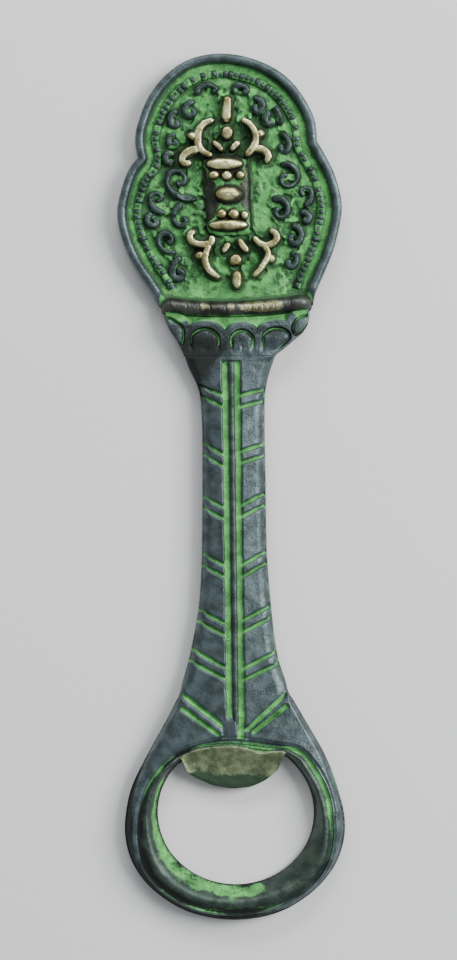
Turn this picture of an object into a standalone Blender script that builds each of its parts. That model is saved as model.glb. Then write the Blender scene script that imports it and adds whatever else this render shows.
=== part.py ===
"""A cast brass bottle opener for the hand: sceptre head, lotus collar, ribbed handle and cap ring.

The real object is one lost-wax casting.  It is modelled as the elements that its wax pattern was built up
from, each a closed solid of its own, with a gap of 0.3 mm wherever two of them meet.

Lengths here are in millimetres: +X right, +Y towards the head, +Z out of the decorated front.  The object
lies on its flat back, with the origin in the middle of that back.  Outlines keep the small unevenness of a
hand-made wax pattern.
"""

import bisect
import math

import bmesh
import bpy
from mathutils import Vector

MM = 0.001
GAP = 0.3

# Heights above the flat back.
PLATE_TOP = 2.6
TRIM_BASE = PLATE_TOP + GAP
RIM_TOP = 4.3
BEAD_TOP = 3.9
SCROLL_TOP = 4.1
PRONG_TOP = 5.4
BARREL_TOP = 4.2
BARREL_TRIM_BASE = BARREL_TOP + GAP
RAIL_TOP = 5.8
COLLAR_TOP = 4.0
PETAL_TOP = 5.2
BODY_TOP = 4.9
SHOULDER_EDGE = 4.4
BODY_WAIST = 2.0
BEVEL_FOOT = 3.6
RIDGE_TOP = 4.7
CHANNEL_FLOOR = 3.9
SPINE_TOP = 4.8

# Head: the plate's outline from the rail's right end, over the top, to its left end, and the plate's foot.
HEAD_SIDE = (
    (15.0, 32.6), (15.6, 35.7), (17.5, 40.1), (19.2, 44.6), (20.4, 50.4), (20.2, 53.8), (18.9, 58.2),
    (16.8, 62.4), (16.0, 65.0), (15.3, 68.1), (13.6, 71.5), (10.9, 75.0), (6.9, 77.8), (1.4, 79.6),
    (-3.6, 79.8), (-8.2, 78.6), (-12.1, 75.9), (-15.2, 72.0), (-16.9, 68.0), (-17.75, 64.6), (-18.0, 60.9),
    (-19.6, 57.0), (-21.0, 51.2), (-20.3, 46.2), (-18.2, 41.2), (-14.9, 36.2), (-12.8, 32.4),
)
HEAD_FOOT = ((-12.8, 32.4), (0.5, 31.4), (15.0, 32.6))
RIM_WIDTH = 1.5
RIM_INSET = 0.75
RIM_END = 36.0
BEAD_WIDTH = 1.4
BEAD_INSET = 3.75
BEAD_PITCH = 1.15
BEAD_END = 36.8

# Rail: a half-round bar across the foot of the head.
RAIL_PATH = ((-12.2, 33.5), (-6.5, 32.9), (-0.4, 32.7), (7.0, 33.1), (14.2, 34.1))
RAIL_WIDTH = 2.6

# Scrollwork: the centre line of each curl, from its tail to its eye.
SCROLL_WIDTH = 0.9
SCROLLS = {
    "scroll_top_left": ((-6.3, 72.5), (-5.9, 73.4), (-4.8, 74.0), (-3.5, 74.0), (-2.7, 73.3), (-3.4, 72.6)),
    "scroll_top_right": ((0.9, 72.6), (0.6, 73.4), (1.4, 74.0), (2.5, 73.8), (3.0, 73.0), (2.3, 72.6)),
    "scroll_left_1": ((-7.0, 71.0), (-8.2, 70.4), (-8.5, 69.2), (-7.6, 68.3), (-6.8, 68.9), (-7.1, 69.6)),
    "scroll_left_2": ((-10.0, 69.2), (-10.9, 68.6), (-11.2, 67.5), (-10.7, 66.5), (-9.9, 66.7),
                      (-10.1, 67.4)),
    "scroll_left_3": ((-10.2, 64.95), (-11.2, 64.6), (-11.6, 63.7), (-10.9, 62.8), (-10.1, 63.2),
                      (-10.5, 63.8)),
    "scroll_left_4": ((-10.7, 61.3), (-11.7, 61.3), (-12.1, 60.4), (-11.4, 59.7), (-10.6, 60.0)),
    "scroll_left_5": ((-6.6, 53.1), (-8.6, 53.3), (-10.6, 54.2), (-11.8, 55.9), (-11.3, 57.7), (-9.7, 58.2),
                      (-8.5, 57.1), (-8.9, 55.9), (-9.9, 56.0)),
    "scroll_left_6": ((-12.2, 50.5), (-13.4, 50.9), (-14.5, 51.8), (-14.9, 53.0), (-14.2, 54.1),
                      (-13.1, 53.9), (-13.0, 53.0), (-13.7, 52.6)),
    "scroll_left_7": ((-14.7, 50.4), (-15.4, 49.6), (-15.3, 48.6), (-14.4, 48.1), (-13.6, 48.6),
                      (-14.0, 49.3)),
    "scroll_left_8": ((-9.1, 52.1), (-10.2, 51.0), (-10.6, 49.7), (-10.0, 48.5), (-8.9, 48.2), (-8.2, 49.0),
                      (-8.8, 49.7)),
    "scroll_left_9": ((-10.3, 43.2), (-11.8, 43.3), (-13.1, 44.3), (-13.3, 45.8), (-12.3, 46.8),
                      (-11.2, 46.3), (-10.9, 45.3), (-11.7, 44.8)),
    "scroll_left_10": ((-9.3, 42.3), (-10.4, 41.2), (-10.9, 39.8), (-10.3, 38.5), (-9.2, 38.6),
                       (-9.1, 39.5), (-9.8, 39.8)),
    "scroll_right_1": ((4.3, 71.9), (5.4, 71.2), (5.9, 70.1), (5.2, 69.1), (4.3, 69.4), (4.4, 70.3)),
    "scroll_right_2": ((7.0, 69.0), (6.4, 68.1), (6.6, 67.1), (7.4, 66.9), (7.5, 67.7)),
    "scroll_right_3": ((8.2, 70.0), (8.7, 69.0), (9.0, 67.8), (9.1, 66.6)),
    "scroll_right_4": ((9.0, 65.1), (10.0, 64.6), (10.6, 63.6), (10.6, 62.4), (9.9, 61.7), (9.1, 62.2),
                       (9.3, 63.1)),
    "scroll_right_5": ((9.2, 59.4), (10.7, 59.4), (12.0, 58.5), (12.3, 57.0), (11.5, 55.7), (10.1, 55.4),
                       (9.2, 56.4), (9.6, 57.4), (10.3, 57.3)),
    "scroll_right_6": ((13.5, 51.8), (14.4, 52.5), (14.8, 53.5), (14.6, 54.6), (13.6, 55.1), (12.8, 54.4),
                       (13.4, 53.6)),
    "scroll_right_7": ((7.6, 53.0), (9.0, 53.1), (10.2, 52.3), (10.5, 51.0), (9.9, 49.9), (8.8, 49.7),
                       (8.2, 50.6), (8.8, 51.3)),
    "scroll_right_8": ((12.9, 50.6), (13.8, 50.5), (14.4, 49.8), (14.1, 49.0), (13.4, 49.2)),
    "scroll_right_9": ((11.3, 48.1), (12.4, 47.7), (13.0, 46.5), (12.6, 45.3), (11.5, 44.8), (10.8, 45.7),
                       (11.4, 46.4)),
    "scroll_right_10": ((11.2, 43.2), (11.9, 42.4), (12.0, 41.3), (11.3, 40.5), (10.5, 40.9), (10.8, 41.7)),
}

# Sceptre: the prongs, as strokes with a width at each point.  The first stroke is the crescent, from its
# tip to the hub, the second the curl at the hub, and the third the lobe on the crescent's outer side.
PRONGS = {
    "prong_upper_left": (
        ((-3.3, 67.4, 0.6), (-4.8, 66.9, 1.1), (-5.8, 65.7, 1.3), (-6.1, 64.1, 1.4), (-5.9, 62.6, 1.3),
         (-4.9, 61.5, 1.0), (-3.6, 60.9, 0.8)),
        ((-5.8, 62.0, 1.2), (-6.8, 62.0, 1.6), (-7.9, 61.6, 1.8), (-8.8, 60.8, 1.5), (-9.0, 59.9, 1.2),
         (-8.3, 59.4, 1.0), (-7.5, 59.7, 0.9)),
        ((-6.2, 64.3, 1.5), (-7.2, 64.5, 2.0), (-7.9, 64.4, 1.6)),
    ),
    "prong_upper_right": (
        ((2.0, 67.5, 0.6), (3.2, 66.9, 1.1), (4.1, 65.8, 1.3), (4.6, 64.4, 1.4), (4.4, 63.1, 1.3),
         (3.7, 61.9, 1.2), (2.8, 61.0, 0.8)),
        ((4.0, 62.2, 1.1), (5.2, 62.2, 1.3), (6.3, 61.8, 1.3), (6.9, 60.8, 1.2), (6.5, 59.8, 1.0)),
        ((4.6, 64.7, 1.5), (5.4, 65.0, 1.9), (6.1, 64.8, 1.5)),
    ),
    "prong_lower_left": (
        ((-2.1, 38.4, 0.5), (-3.4, 39.3, 0.9), (-4.4, 40.5, 1.1), (-4.8, 41.9, 1.3), (-4.5, 43.3, 1.2),
         (-4.0, 44.4, 1.0)),
        ((-3.5, 46.0, 0.9), (-3.7, 44.9, 1.3), (-5.0, 44.6, 1.4), (-6.5, 44.8, 1.3), (-7.5, 45.6, 1.3),
         (-7.4, 46.6, 1.1), (-6.6, 46.9, 0.9)),
        ((-4.7, 42.5, 1.5), (-5.7, 42.6, 1.8), (-6.5, 42.5, 1.4)),
    ),
    "prong_lower_right": (
        ((4.1, 38.8, 0.5), (5.2, 39.8, 0.9), (6.0, 41.0, 0.9), (6.7, 42.2, 1.1), (6.8, 43.2, 1.0),
         (6.2, 44.3, 1.0)),
        ((4.2, 45.9, 0.8), (5.1, 44.9, 1.0), (6.3, 44.4, 1.1), (7.6, 44.7, 1.2), (8.4, 45.6, 1.4),
         (8.1, 46.7, 1.3), (7.1, 47.1, 0.9)),
        ((6.8, 42.4, 1.2), (7.4, 42.1, 1.7), (7.9, 41.5, 1.2)),
    ),
}
BARREL_OUTLINE = (
    (-3.9, 47.0), (0.0, 46.6), (3.3, 47.0), (3.4, 50.0), (3.2, 53.5), (3.2, 57.0), (2.4, 60.4),
    (-1.0, 60.8), (-4.6, 60.4), (-4.7, 57.0), (-4.6, 53.5), (-4.2, 50.0),
)
# Domed pieces: centre, half width, half length and top.
BARREL_DOMES = {
    "disc_upper": (-1.2, 59.3, 3.5, 0.95, 6.0),
    "petal_upper_1": (-3.2, 57.3, 0.9, 0.65, 5.5),
    "petal_upper_2": (-0.7, 57.2, 0.9, 0.75, 5.6),
    "petal_upper_3": (1.7, 57.3, 0.8, 0.65, 5.5),
    "sceptre_bulb": (-0.4, 53.7, 2.6, 1.3, 6.6),
    "petal_lower_1": (-1.7, 50.2, 0.8, 0.8, 5.5),
    "petal_lower_2": (0.5, 50.1, 0.9, 0.9, 5.6),
    "petal_lower_3": (2.5, 50.0, 0.6, 0.7, 5.4),
    "disc_lower": (-0.5, 48.1, 3.7, 0.85, 6.0),
}
PLATE_DOMES = {
    "bud_upper": (-0.7, 65.1, 1.05, 1.15, 5.0),
    "bud_lower": (0.9, 41.8, 1.05, 0.9, 4.8),
}
PLATE_STROKES = {
    "spike_upper": ((-0.9, 67.3, 1.8), (-0.75, 69.5, 1.9), (-0.6, 71.8, 1.5)),
    "spike_lower": ((1.15, 36.6, 1.6), (1.1, 38.0, 1.9), (1.1, 39.6, 1.8)),
    "leaf_upper_left": ((-3.3, 63.4, 0.7), (-2.4, 62.7, 0.9), (-1.6, 61.8, 0.6)),
    "leaf_upper_right": ((1.4, 63.3, 0.7), (0.7, 62.7, 0.9), (0.0, 61.9, 0.6)),
    "leaf_lower_left": ((-0.4, 44.7, 0.6), (-0.9, 44.0, 0.9), (-1.5, 43.2, 0.7)),
    "leaf_lower_right": ((1.5, 45.5, 0.6), (2.2, 44.3, 1.0), (3.0, 43.3, 0.7)),
}

# Collar: the flared body and its five petals, the outer two seen half round its sides.
COLLAR_OUTLINE = (
    (8.2, 24.4), (9.8, 25.5), (11.4, 26.9), (13.2, 28.4), (14.2, 29.9), (14.5, 31.6), (14.5, 32.1),
    (7.0, 31.5), (0.5, 31.0), (-6.0, 31.4), (-12.3, 32.0), (-12.4, 31.4), (-11.3, 28.9), (-10.0, 27.1),
    (-8.7, 24.4),
)
COLLAR_PETALS = (
    ((-9.1, 26.3), (-8.95, 28.8), (-10.0, 30.1), (-11.9, 31.0), (-11.2, 29.0), (-10.1, 27.5)),
    ((-7.2, 25.0), (-4.8, 24.8), (-2.4, 25.0), (-2.3, 28.4), (-3.4, 30.1), (-4.9, 30.5), (-6.4, 30.0),
     (-7.3, 28.4)),
    ((-0.2, 25.0), (2.0, 24.8), (4.1, 25.0), (4.2, 28.2), (3.3, 29.8), (2.0, 30.2), (0.7, 29.8),
     (-0.2, 28.2)),
    ((6.1, 25.2), (8.6, 25.6), (10.5, 27.3), (10.8, 29.1), (9.9, 30.3), (8.4, 30.6), (6.9, 30.2),
     (6.0, 28.6)),
    ((11.7, 28.2), (13.0, 29.0), (13.9, 30.3), (13.9, 31.3), (12.5, 30.9), (11.6, 29.7)),
)

# Handle: Y with the left and right edge, which carry on into the ring's shoulders.
HANDLE_TOP = 24.1
HANDLE_EDGES = (
    (24.1, -8.6, 8.2), (21.0, -7.4, 7.0), (18.0, -5.9, 6.4), (13.0, -5.4, 6.2), (2.0, -5.3, 6.4),
    (-12.0, -5.4, 6.65), (-21.7, -5.9, 7.4), (-30.0, -7.4, 8.4), (-36.5, -9.0, 10.3), (-43.0, -12.0, 13.7),
)
# Chevron grooves are cut in pairs.  Each row is the upper groove's Y at the left edge, on both sides of the
# spine and at the right edge.  The lower groove of each pair is the spacing further down.
CHEVRON_PAIRS = (
    (19.1, 16.8, 16.8, 18.0),
    (8.2, 5.9, 6.5, 8.0),
    (-1.7, -3.8, -3.4, -1.0),
    (-12.3, -14.4, -14.4, -11.7),
    (-22.5, -25.2, -24.6, -21.8),
    (-29.8, -33.3, -33.4, -30.3),
)
CHEVRON_SPACING = 2.1
CHEVRON_HALF_WIDTH = 0.45
CHEVRON_DEPTH = 0.8
HANDLE_FOOT = (-37.6, -44.2, -44.9, -37.3)
EDGE_BEVEL = 1.6
CHANNEL_HALF_WIDTH = 1.6
SPINE_HALF_WIDTH = 0.5
# Where the cutter for the channel's last stretch, in the ring, has its stations,
# and how far it clears the top.
SLOT_STATIONS = (-42.0, -44.5, -46.4, -50.0)
SLOT_CLEARANCE = 1.0
SPINE_TOP_Y = 23.2
SPINE_FOOT_Y = -46.4
SPINE_LEAN = 0.0128

# Cap ring: everything is measured out from a point inside the hole.
RING_CENTRE = Vector((0.9, -60.2))
RING_SIDE = (
    (-9.4, -38.1), (-12.0, -43.2), (-15.6, -49.7), (-18.4, -55.5), (-19.5, -61.0), (-19.4, -65.4),
    (-17.8, -70.1), (-14.0, -74.7), (-7.6, -78.5), (0.8, -79.9), (8.8, -78.5), (15.1, -74.7),
    (19.1, -70.0), (20.8, -65.4), (21.0, -61.0), (19.8, -55.9), (17.5, -49.7), (13.8, -43.2),
    (10.7, -37.9),
)
RING_SEAM = ((10.7, -37.9), (2.5, -45.3), (-0.8, -44.7), (-9.4, -38.1))
GROOVE_LINE = (
    (-2.6, -47.2), (-6.8, -47.9), (-11.3, -50.2), (-14.9, -54.6), (-16.8, -60.2), (-16.9, -66.0),
    (-15.8, -70.3), (-13.0, -73.5), (-9.4, -76.0), (-5.0, -77.6), (0.9, -78.3), (6.0, -77.7),
    (10.5, -76.1), (14.5, -73.4), (17.5, -69.4), (18.5, -65.0), (18.4, -60.8), (17.3, -55.9),
    (15.0, -51.6), (11.8, -48.4), (7.3, -47.9), (2.5, -47.3),
)
RIDGE_LINE = (
    (-11.2, -51.1), (-13.6, -53.6), (-15.2, -57.0), (-15.7, -61.0), (-15.2, -66.0), (-13.6, -70.2),
    (-10.5, -73.4), (-6.6, -75.5), (-3.0, -76.4), (0.5, -76.7), (4.0, -76.3), (8.0, -75.4),
    (12.2, -73.4), (15.9, -69.8), (17.3, -65.5), (17.3, -60.4), (15.9, -55.5), (13.7, -51.6),
    (11.2, -49.2), (1.0, -48.4),
)
HOLE_RADII = (14.45, 13.35)
LINER_SPAN = (math.radians(139.0), math.radians(408.0))
LINER_STATIONS = 64
RIDGE_HALF_WIDTH = 0.45
RING_BEVEL = 1.0

# Pry lip: a tongue across the top of the hole, in columns of X, upper edge and lower edge.
LIP_COLUMNS = (
    (-8.9, -49.6, -51.6), (-6.6, -48.3, -53.4), (-3.4, -47.7, -54.9), (0.2, -47.6, -55.5),
    (3.6, -47.9, -55.2), (6.4, -48.2, -53.9), (8.4, -48.4, -51.9), (9.6, -48.5, -50.2),
)

# The section of every half-round bar, as shares of its width and height.
BAR_SECTION = ((-0.5, 0.0), (-0.46, 0.5), (-0.2, 0.95), (0.2, 0.95), (0.46, 0.5), (0.5, 0.0))
BEAD_SECTION = ((-0.5, 0.0), (-0.33, 1.0), (0.33, 1.0), (0.5, 0.0))


def clear_scene():
    for existing in list(bpy.data.objects):
        bpy.data.objects.remove(existing, do_unlink=True)


def finish(name, colour, roughness, metallic):
    material = bpy.data.materials.new(name)
    material.use_nodes = True
    shader = material.node_tree.nodes["Principled BSDF"]
    shader.inputs["Base Color"].default_value = (*colour, 1.0)
    shader.inputs["Roughness"].default_value = roughness
    shader.inputs["Metallic"].default_value = metallic
    return material


def spline(points, steps, closed=False):
    """Points on the smooth curve through the given ones, with so many steps to each span."""
    count = len(points)
    curve = []
    for span in range(count if closed else count - 1):
        if closed:
            picks = [(span + k) % count for k in (-1, 0, 1, 2)]
        else:
            picks = [min(max(span + k, 0), count - 1) for k in (-1, 0, 1, 2)]
        a, b, c, d = (Vector(points[pick]) for pick in picks)
        for step in range(steps):
            t = step / steps
            curve.append(0.5 * (2 * b + (c - a) * t + (2 * a - 5 * b + 4 * c - d) * t ** 2
                                + (3 * b - 3 * c + d - a) * t ** 3))
    if not closed:
        curve.append(Vector(points[-1]))
    return curve


def resample(path, spacing):
    """The path again, with its points evenly spread, about so far apart."""
    marks = [0.0]
    for start, end in zip(path, path[1:]):
        marks.append(marks[-1] + (end - start).length)
    count = round(marks[-1] / spacing)
    points = []
    for index in range(count + 1):
        mark = marks[-1] * index / count
        span = min(max(bisect.bisect_right(marks, mark) - 1, 0), len(path) - 2)
        share = (mark - marks[span]) / (marks[span + 1] - marks[span])
        points.append(path[span].lerp(path[span + 1], share))
    return points


def inset(outline, distance):
    """A counter-clockwise closed outline, moved inwards."""
    moved = []
    for index, point in enumerate(outline):
        along = (outline[(index + 1) % len(outline)] - outline[index - 1]).normalized()
        moved.append(point + distance * Vector((-along.y, along.x)))
    return moved


def level(outline, height):
    """A flat loop at one height."""
    return [(point[0], point[1], height) for point in outline]


def loft(name, loops, material, closed=False, caps=None):
    """A closed solid through loops of equally many points.  A closed loft joins its last loop to its first.

    An open one is capped at both ends: by one face each, or by the faces that caps lists by point number.
    """
    size = len(loops[0])
    caps = caps or [range(size)]
    vertices = [Vector(point) * MM for loop in loops for point in loop]
    faces = []
    for index in range(len(loops) if closed else len(loops) - 1):
        here, there = index * size, (index + 1) % len(loops) * size
        faces += [(here + k, here + (k + 1) % size, there + (k + 1) % size, there + k) for k in range(size)]
    if not closed:
        last = (len(loops) - 1) * size
        faces += [tuple(cap) for cap in caps]
        faces += [tuple(last + k for k in reversed(cap)) for cap in caps]
    mesh = bpy.data.meshes.new(name)
    mesh.from_pydata(vertices, [], faces)
    solid = bmesh.new()
    solid.from_mesh(mesh)
    bmesh.ops.recalc_face_normals(solid, faces=solid.faces)
    solid.to_mesh(mesh)
    solid.free()
    mesh.materials.append(material)
    mesh.shade_smooth()
    mesh.set_sharp_from_angle(angle=math.radians(40))
    piece = bpy.data.objects.new(name, mesh)
    bpy.context.collection.objects.link(piece)
    return piece


def bar(name, path, bottom, tops, widths, material, section=BAR_SECTION):
    """A solid of the given section laid along a flat path, with a width and a top for each point."""
    loops = []
    for index, point in enumerate(path):
        along = (path[min(index + 1, len(path) - 1)] - path[max(index - 1, 0)]).normalized()
        side = Vector((along.y, -along.x))
        loop = []
        for across, up in section:
            place = point + side * across * widths[index]
            loop.append((place.x, place.y, bottom + up * (tops[index] - bottom)))
        loops.append(loop)
    return loft(name, loops, material)


def stroke(name, points, bottom, top, material, steps=3):
    """A bar through hand-placed points of X, Y and width, whose ends are rounded off."""
    curve = spline(points, steps)
    path = [Vector(point[:2]) for point in curve]
    lengths = [0.0]
    for start, end in zip(path, path[1:]):
        lengths.append(lengths[-1] + (end - start).length)
    widths, tops = [], []
    for point, length in zip(curve, lengths):
        to_end = min(length, lengths[-1] - length) / point[2]
        share = min(1.0, 0.55 + 1.5 * to_end)
        widths.append(point[2] * share)
        tops.append(bottom + (top - bottom) * (0.5 + 0.5 * share))
    return bar(name, path, bottom, tops, widths, material)


def dome(name, outline, bottom, top, material):
    """A cushion-shaped solid on a flat convex outline."""
    centre = sum(outline, Vector((0.0, 0.0))) / len(outline)
    shares = ((1.0, 0.0), (0.98, 0.35), (0.88, 0.7), (0.65, 0.92), (0.3, 1.0))
    loops = [level([centre.lerp(point, out) for point in outline], bottom + up * (top - bottom))
             for out, up in shares]
    return loft(name, loops, material)


def oval(x, y, half_width, half_length, sides=18):
    return [Vector((x + half_width * math.cos(turn), y + half_length * math.sin(turn)))
            for turn in (2 * math.pi * k / sides for k in range(sides))]


def boolean(piece, other, operation):
    """Adds to the piece, or takes from it, another object that is only a guide."""
    other.hide_render = True
    other.display_type = "WIRE"
    modifier = piece.modifiers.new(other.name, "BOOLEAN")
    modifier.operation = operation
    modifier.object = other
    modifier.solver = "EXACT"


def polar(outline):
    """The outline's distance from the ring's centre, as a function of the angle."""
    spokes = [point - RING_CENTRE for point in outline]
    marks = sorted((math.atan2(spoke.y, spoke.x), spoke.length) for spoke in spokes)
    marks = [(marks[-1][0] - math.tau, marks[-1][1])] + marks + [(marks[0][0] + math.tau, marks[0][1])]

    def distance(angle):
        angle = (angle + math.pi) % math.tau - math.pi
        index = min(max(bisect.bisect([mark[0] for mark in marks], angle), 1), len(marks) - 1)
        (start, near), (end, far) = marks[index - 1], marks[index]
        return near + (far - near) * (angle - start) / (end - start)

    return distance


def hole_radius(angle):
    across, along = HOLE_RADII
    return 1.0 / math.hypot(math.cos(angle) / across, math.sin(angle) / along)


def handle_edge(y):
    """The left and right edge of the handle at a given Y."""
    rows = spline([(row[0], row[1], row[2]) for row in HANDLE_EDGES], 6)
    for upper, lower in zip(rows, rows[1:]):
        if lower[0] <= y:
            break
    share = min(max((upper[0] - y) / (upper[0] - lower[0]), 0.0), 1.0)
    place = upper.lerp(lower, share)
    return place[1], place[2]


def spine_x(y):
    """The spine leans a little to the right on its way down."""
    return SPINE_LEAN * (SPINE_TOP_Y - y)


def head_outline():
    return spline(HEAD_SIDE, 3) + spline(HEAD_FOOT, 6)[1:-1]


def head_line(distance, end):
    """The line at a given distance inside the head's outline, down to the rail on both sides."""
    return [point for point in inset(head_outline(), distance) if point.y > end]


def make_head(dark, grey, green):
    outline = head_outline()
    loops = [level(inset(outline, 0.3), 0.0), level(outline, 0.5), level(outline, PLATE_TOP)]
    loft("head_plate", loops, green)

    line = head_line(RIM_INSET, RIM_END)
    bar("head_rim", line, TRIM_BASE, [RIM_TOP] * len(line), [RIM_WIDTH] * len(line), grey)

    line = resample(head_line(BEAD_INSET, BEAD_END), BEAD_PITCH / 2)
    shares = [1.0 if index % 2 else 0.62 for index in range(len(line))]
    tops = [TRIM_BASE + (BEAD_TOP - TRIM_BASE) * share for share in shares]
    bar("bead_border", line, TRIM_BASE, tops, [BEAD_WIDTH * share for share in shares], dark, BEAD_SECTION)

    for name, points in SCROLLS.items():
        stroke(name, [(*point, SCROLL_WIDTH) for point in points], TRIM_BASE, SCROLL_TOP, green)

    rail = [(*point, RAIL_WIDTH) for point in RAIL_PATH]
    stroke("collar_rail", rail, TRIM_BASE, RAIL_TOP, dark, steps=4)


def make_sceptre(dark, brass):
    for name, (crescent, curl, lobe) in PRONGS.items():
        prong = stroke(name, crescent, TRIM_BASE, PRONG_TOP, brass)
        boolean(prong, stroke(name + "_curl", curl, TRIM_BASE, PRONG_TOP - 0.1, brass), "UNION")
        boolean(prong, stroke(name + "_lobe", lobe, TRIM_BASE, PRONG_TOP - 0.5, brass), "UNION")

    outline = spline(BARREL_OUTLINE, 2, closed=True)
    dome("sceptre_barrel", outline, TRIM_BASE, BARREL_TOP, dark)
    for name, (x, y, half_width, half_length, top) in BARREL_DOMES.items():
        dome(name, oval(x, y, half_width, half_length), BARREL_TRIM_BASE, top, brass)
    for name, (x, y, half_width, half_length, top) in PLATE_DOMES.items():
        dome(name, oval(x, y, half_width, half_length), TRIM_BASE, top, brass)
    for name, points in PLATE_STROKES.items():
        stroke(name, points, TRIM_BASE, PRONG_TOP, brass)


def make_collar(dark):
    outline = [Vector(point) for point in COLLAR_OUTLINE]
    loops = [level(inset(outline, 0.4), 0.0), level(outline, 1.2), level(outline, 2.8),
             level(inset(outline, 0.5), COLLAR_TOP)]
    loft("lotus_collar", loops, dark)
    for number, points in enumerate(COLLAR_PETALS, start=1):
        outline = spline(points, 2, closed=True)
        dome(f"collar_petal_{number}", outline, COLLAR_TOP + GAP, PETAL_TOP, dark)


def handle_rows():
    """The handle's stations from top to foot: each the four Y values of a row, and how deep it is cut."""
    rows = [((HANDLE_TOP,) * 4, 0.0)]
    for pair in CHEVRON_PAIRS:
        upper_edge = [y + CHEVRON_HALF_WIDTH for y in pair]
        between = [(above + below) / 2 for above, below in zip(rows[-1][0], upper_edge)]
        rows.append((between, 0.0))
        for drop in (0.0, CHEVRON_SPACING):
            rows.append(([y - drop + CHEVRON_HALF_WIDTH for y in pair], 0.0))
            rows.append(([y - drop for y in pair], CHEVRON_DEPTH))
            rows.append(([y - drop - CHEVRON_HALF_WIDTH for y in pair], 0.0))
    rows.append((HANDLE_FOOT, 0.0))
    return rows


def handle_loop(row, cut):
    """One station: a bent row of points, so that the grooves run down towards the spine."""
    left_y, inner_left_y, inner_right_y, right_y = row
    left, right = handle_edge(left_y)[0], handle_edge(right_y)[1]
    inner_left = spine_x(inner_left_y) - CHANNEL_HALF_WIDTH
    inner_right = spine_x(inner_right_y) + CHANNEL_HALF_WIDTH
    half = [(left + 0.5, left_y, 0.0), (left, left_y, BODY_WAIST), (left + 0.3, left_y, BEVEL_FOOT)]
    share = EDGE_BEVEL / (inner_left - left)
    half += [(left + EDGE_BEVEL, left_y + share * (inner_left_y - left_y), SHOULDER_EDGE - cut)]
    half += [(inner_left, inner_left_y, BODY_TOP - cut), (inner_left, inner_left_y, CHANNEL_FLOOR)]
    other = [(inner_right, inner_right_y, CHANNEL_FLOOR), (inner_right, inner_right_y, BODY_TOP - cut)]
    share = EDGE_BEVEL / (right - inner_right)
    other += [(right - EDGE_BEVEL, right_y + share * (inner_right_y - right_y), SHOULDER_EDGE - cut)]
    other += [(right - 0.3, right_y, BEVEL_FOOT), (right, right_y, BODY_WAIST), (right - 0.5, right_y, 0.0)]
    return half + other + [(inner_right, inner_right_y, 0.0), (inner_left, inner_left_y, 0.0)]


def make_handle(grey, dark):
    loops = [handle_loop(row, cut) for row, cut in handle_rows()]
    panels = [(0, 1, 2, 3, 4, 5, 13), (5, 6, 12, 13), (6, 7, 8, 9, 10, 11, 12)]
    loft("handle_shank", loops, grey, caps=panels)

    stations = 15
    line = [Vector((spine_x(y), y)) for y in
            (SPINE_TOP_Y + (SPINE_FOOT_Y - SPINE_TOP_Y) * k / stations for k in range(stations + 1))]
    count = len(line)
    bar("handle_spine", line, CHANNEL_FLOOR + GAP, [SPINE_TOP] * count, [2 * SPINE_HALF_WIDTH] * count, dark)


def make_ring(grey, green):
    """The outer band: a closed ring of loops from the outside in, cut square where it meets the handle."""
    side = spline(RING_SIDE, 4)
    outline = [(point, RING_BEVEL, SHOULDER_EDGE) for point in side[1:-1]]
    heights = (SHOULDER_EDGE, BODY_TOP, BODY_TOP, SHOULDER_EDGE)
    for index in range(len(RING_SEAM) - 1):
        start, end = (Vector((*RING_SEAM[k], heights[k])) for k in (index, index + 1))
        places = [start.lerp(end, share) for share in (0.0, 0.25, 0.5, 0.75)]
        outline += [(place.xy, 0.0, place.z) for place in places]
    outline.append((Vector(RING_SEAM[-1]), 0.0, SHOULDER_EDGE))
    outline.sort(key=lambda entry: math.atan2(entry[0].y - RING_CENTRE.y, entry[0].x - RING_CENTRE.x))
    groove = polar(spline(GROOVE_LINE, 4, closed=True))
    loops = []
    for point, bevel, top in outline:
        spoke = point - RING_CENTRE
        angle = math.atan2(spoke.y, spoke.x)
        outward = Vector((math.cos(angle), math.sin(angle)))
        rim = (point - RING_CENTRE).length
        inner = groove(angle) + GAP / 2
        section = ((rim - bevel * 0.4, 0.0), (rim, BODY_WAIST), (rim - bevel * 0.3, BEVEL_FOOT),
                   (rim - bevel, top), (inner, BODY_TOP), (inner, 0.0))
        loops.append([(*(RING_CENTRE + outward * out), up) for out, up in section])
    ring = loft("cap_ring", loops, grey, closed=True)

    # The spine's channel carries on into the ring, down to the ledge over the lip.
    slot = [Vector((spine_x(y), y)) for y in SLOT_STATIONS]
    square = ((-0.5, 0.0), (-0.5, 1.0), (0.5, 1.0), (0.5, 0.0))
    widths = [2 * CHANNEL_HALF_WIDTH] * len(slot)
    slot_tops = [BODY_TOP + SLOT_CLEARANCE] * len(slot)
    cutter = bar("spine_slot", slot, CHANNEL_FLOOR, slot_tops, widths, green, square)
    boolean(ring, cutter, "DIFFERENCE")


def make_liner(green):
    """The raised ridge inside the groove, and the wall that slopes from it into the hole."""
    groove = polar(spline(GROOVE_LINE, 4, closed=True))
    ridge = polar(spline(RIDGE_LINE, 4, closed=True))
    loops = []
    for station in range(LINER_STATIONS + 1):
        angle = LINER_SPAN[0] + (LINER_SPAN[1] - LINER_SPAN[0]) * station / LINER_STATIONS
        outward = Vector((math.cos(angle), math.sin(angle)))
        outer = groove(angle) - GAP / 2
        crest = min(ridge(angle), outer - RIDGE_HALF_WIDTH)
        wall = hole_radius(angle)
        section = ((outer, 0.0), (outer, BEVEL_FOOT), (crest + RIDGE_HALF_WIDTH * 0.6, RIDGE_TOP),
                   (crest - RIDGE_HALF_WIDTH, RIDGE_TOP), (wall + 0.35 * (crest - wall), 3.0), (wall, 1.2),
                   (wall + 0.3, 0.0))
        loops.append([(*(RING_CENTRE + outward * out), up) for out, up in section])
    loft("ring_liner", loops, green)


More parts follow.
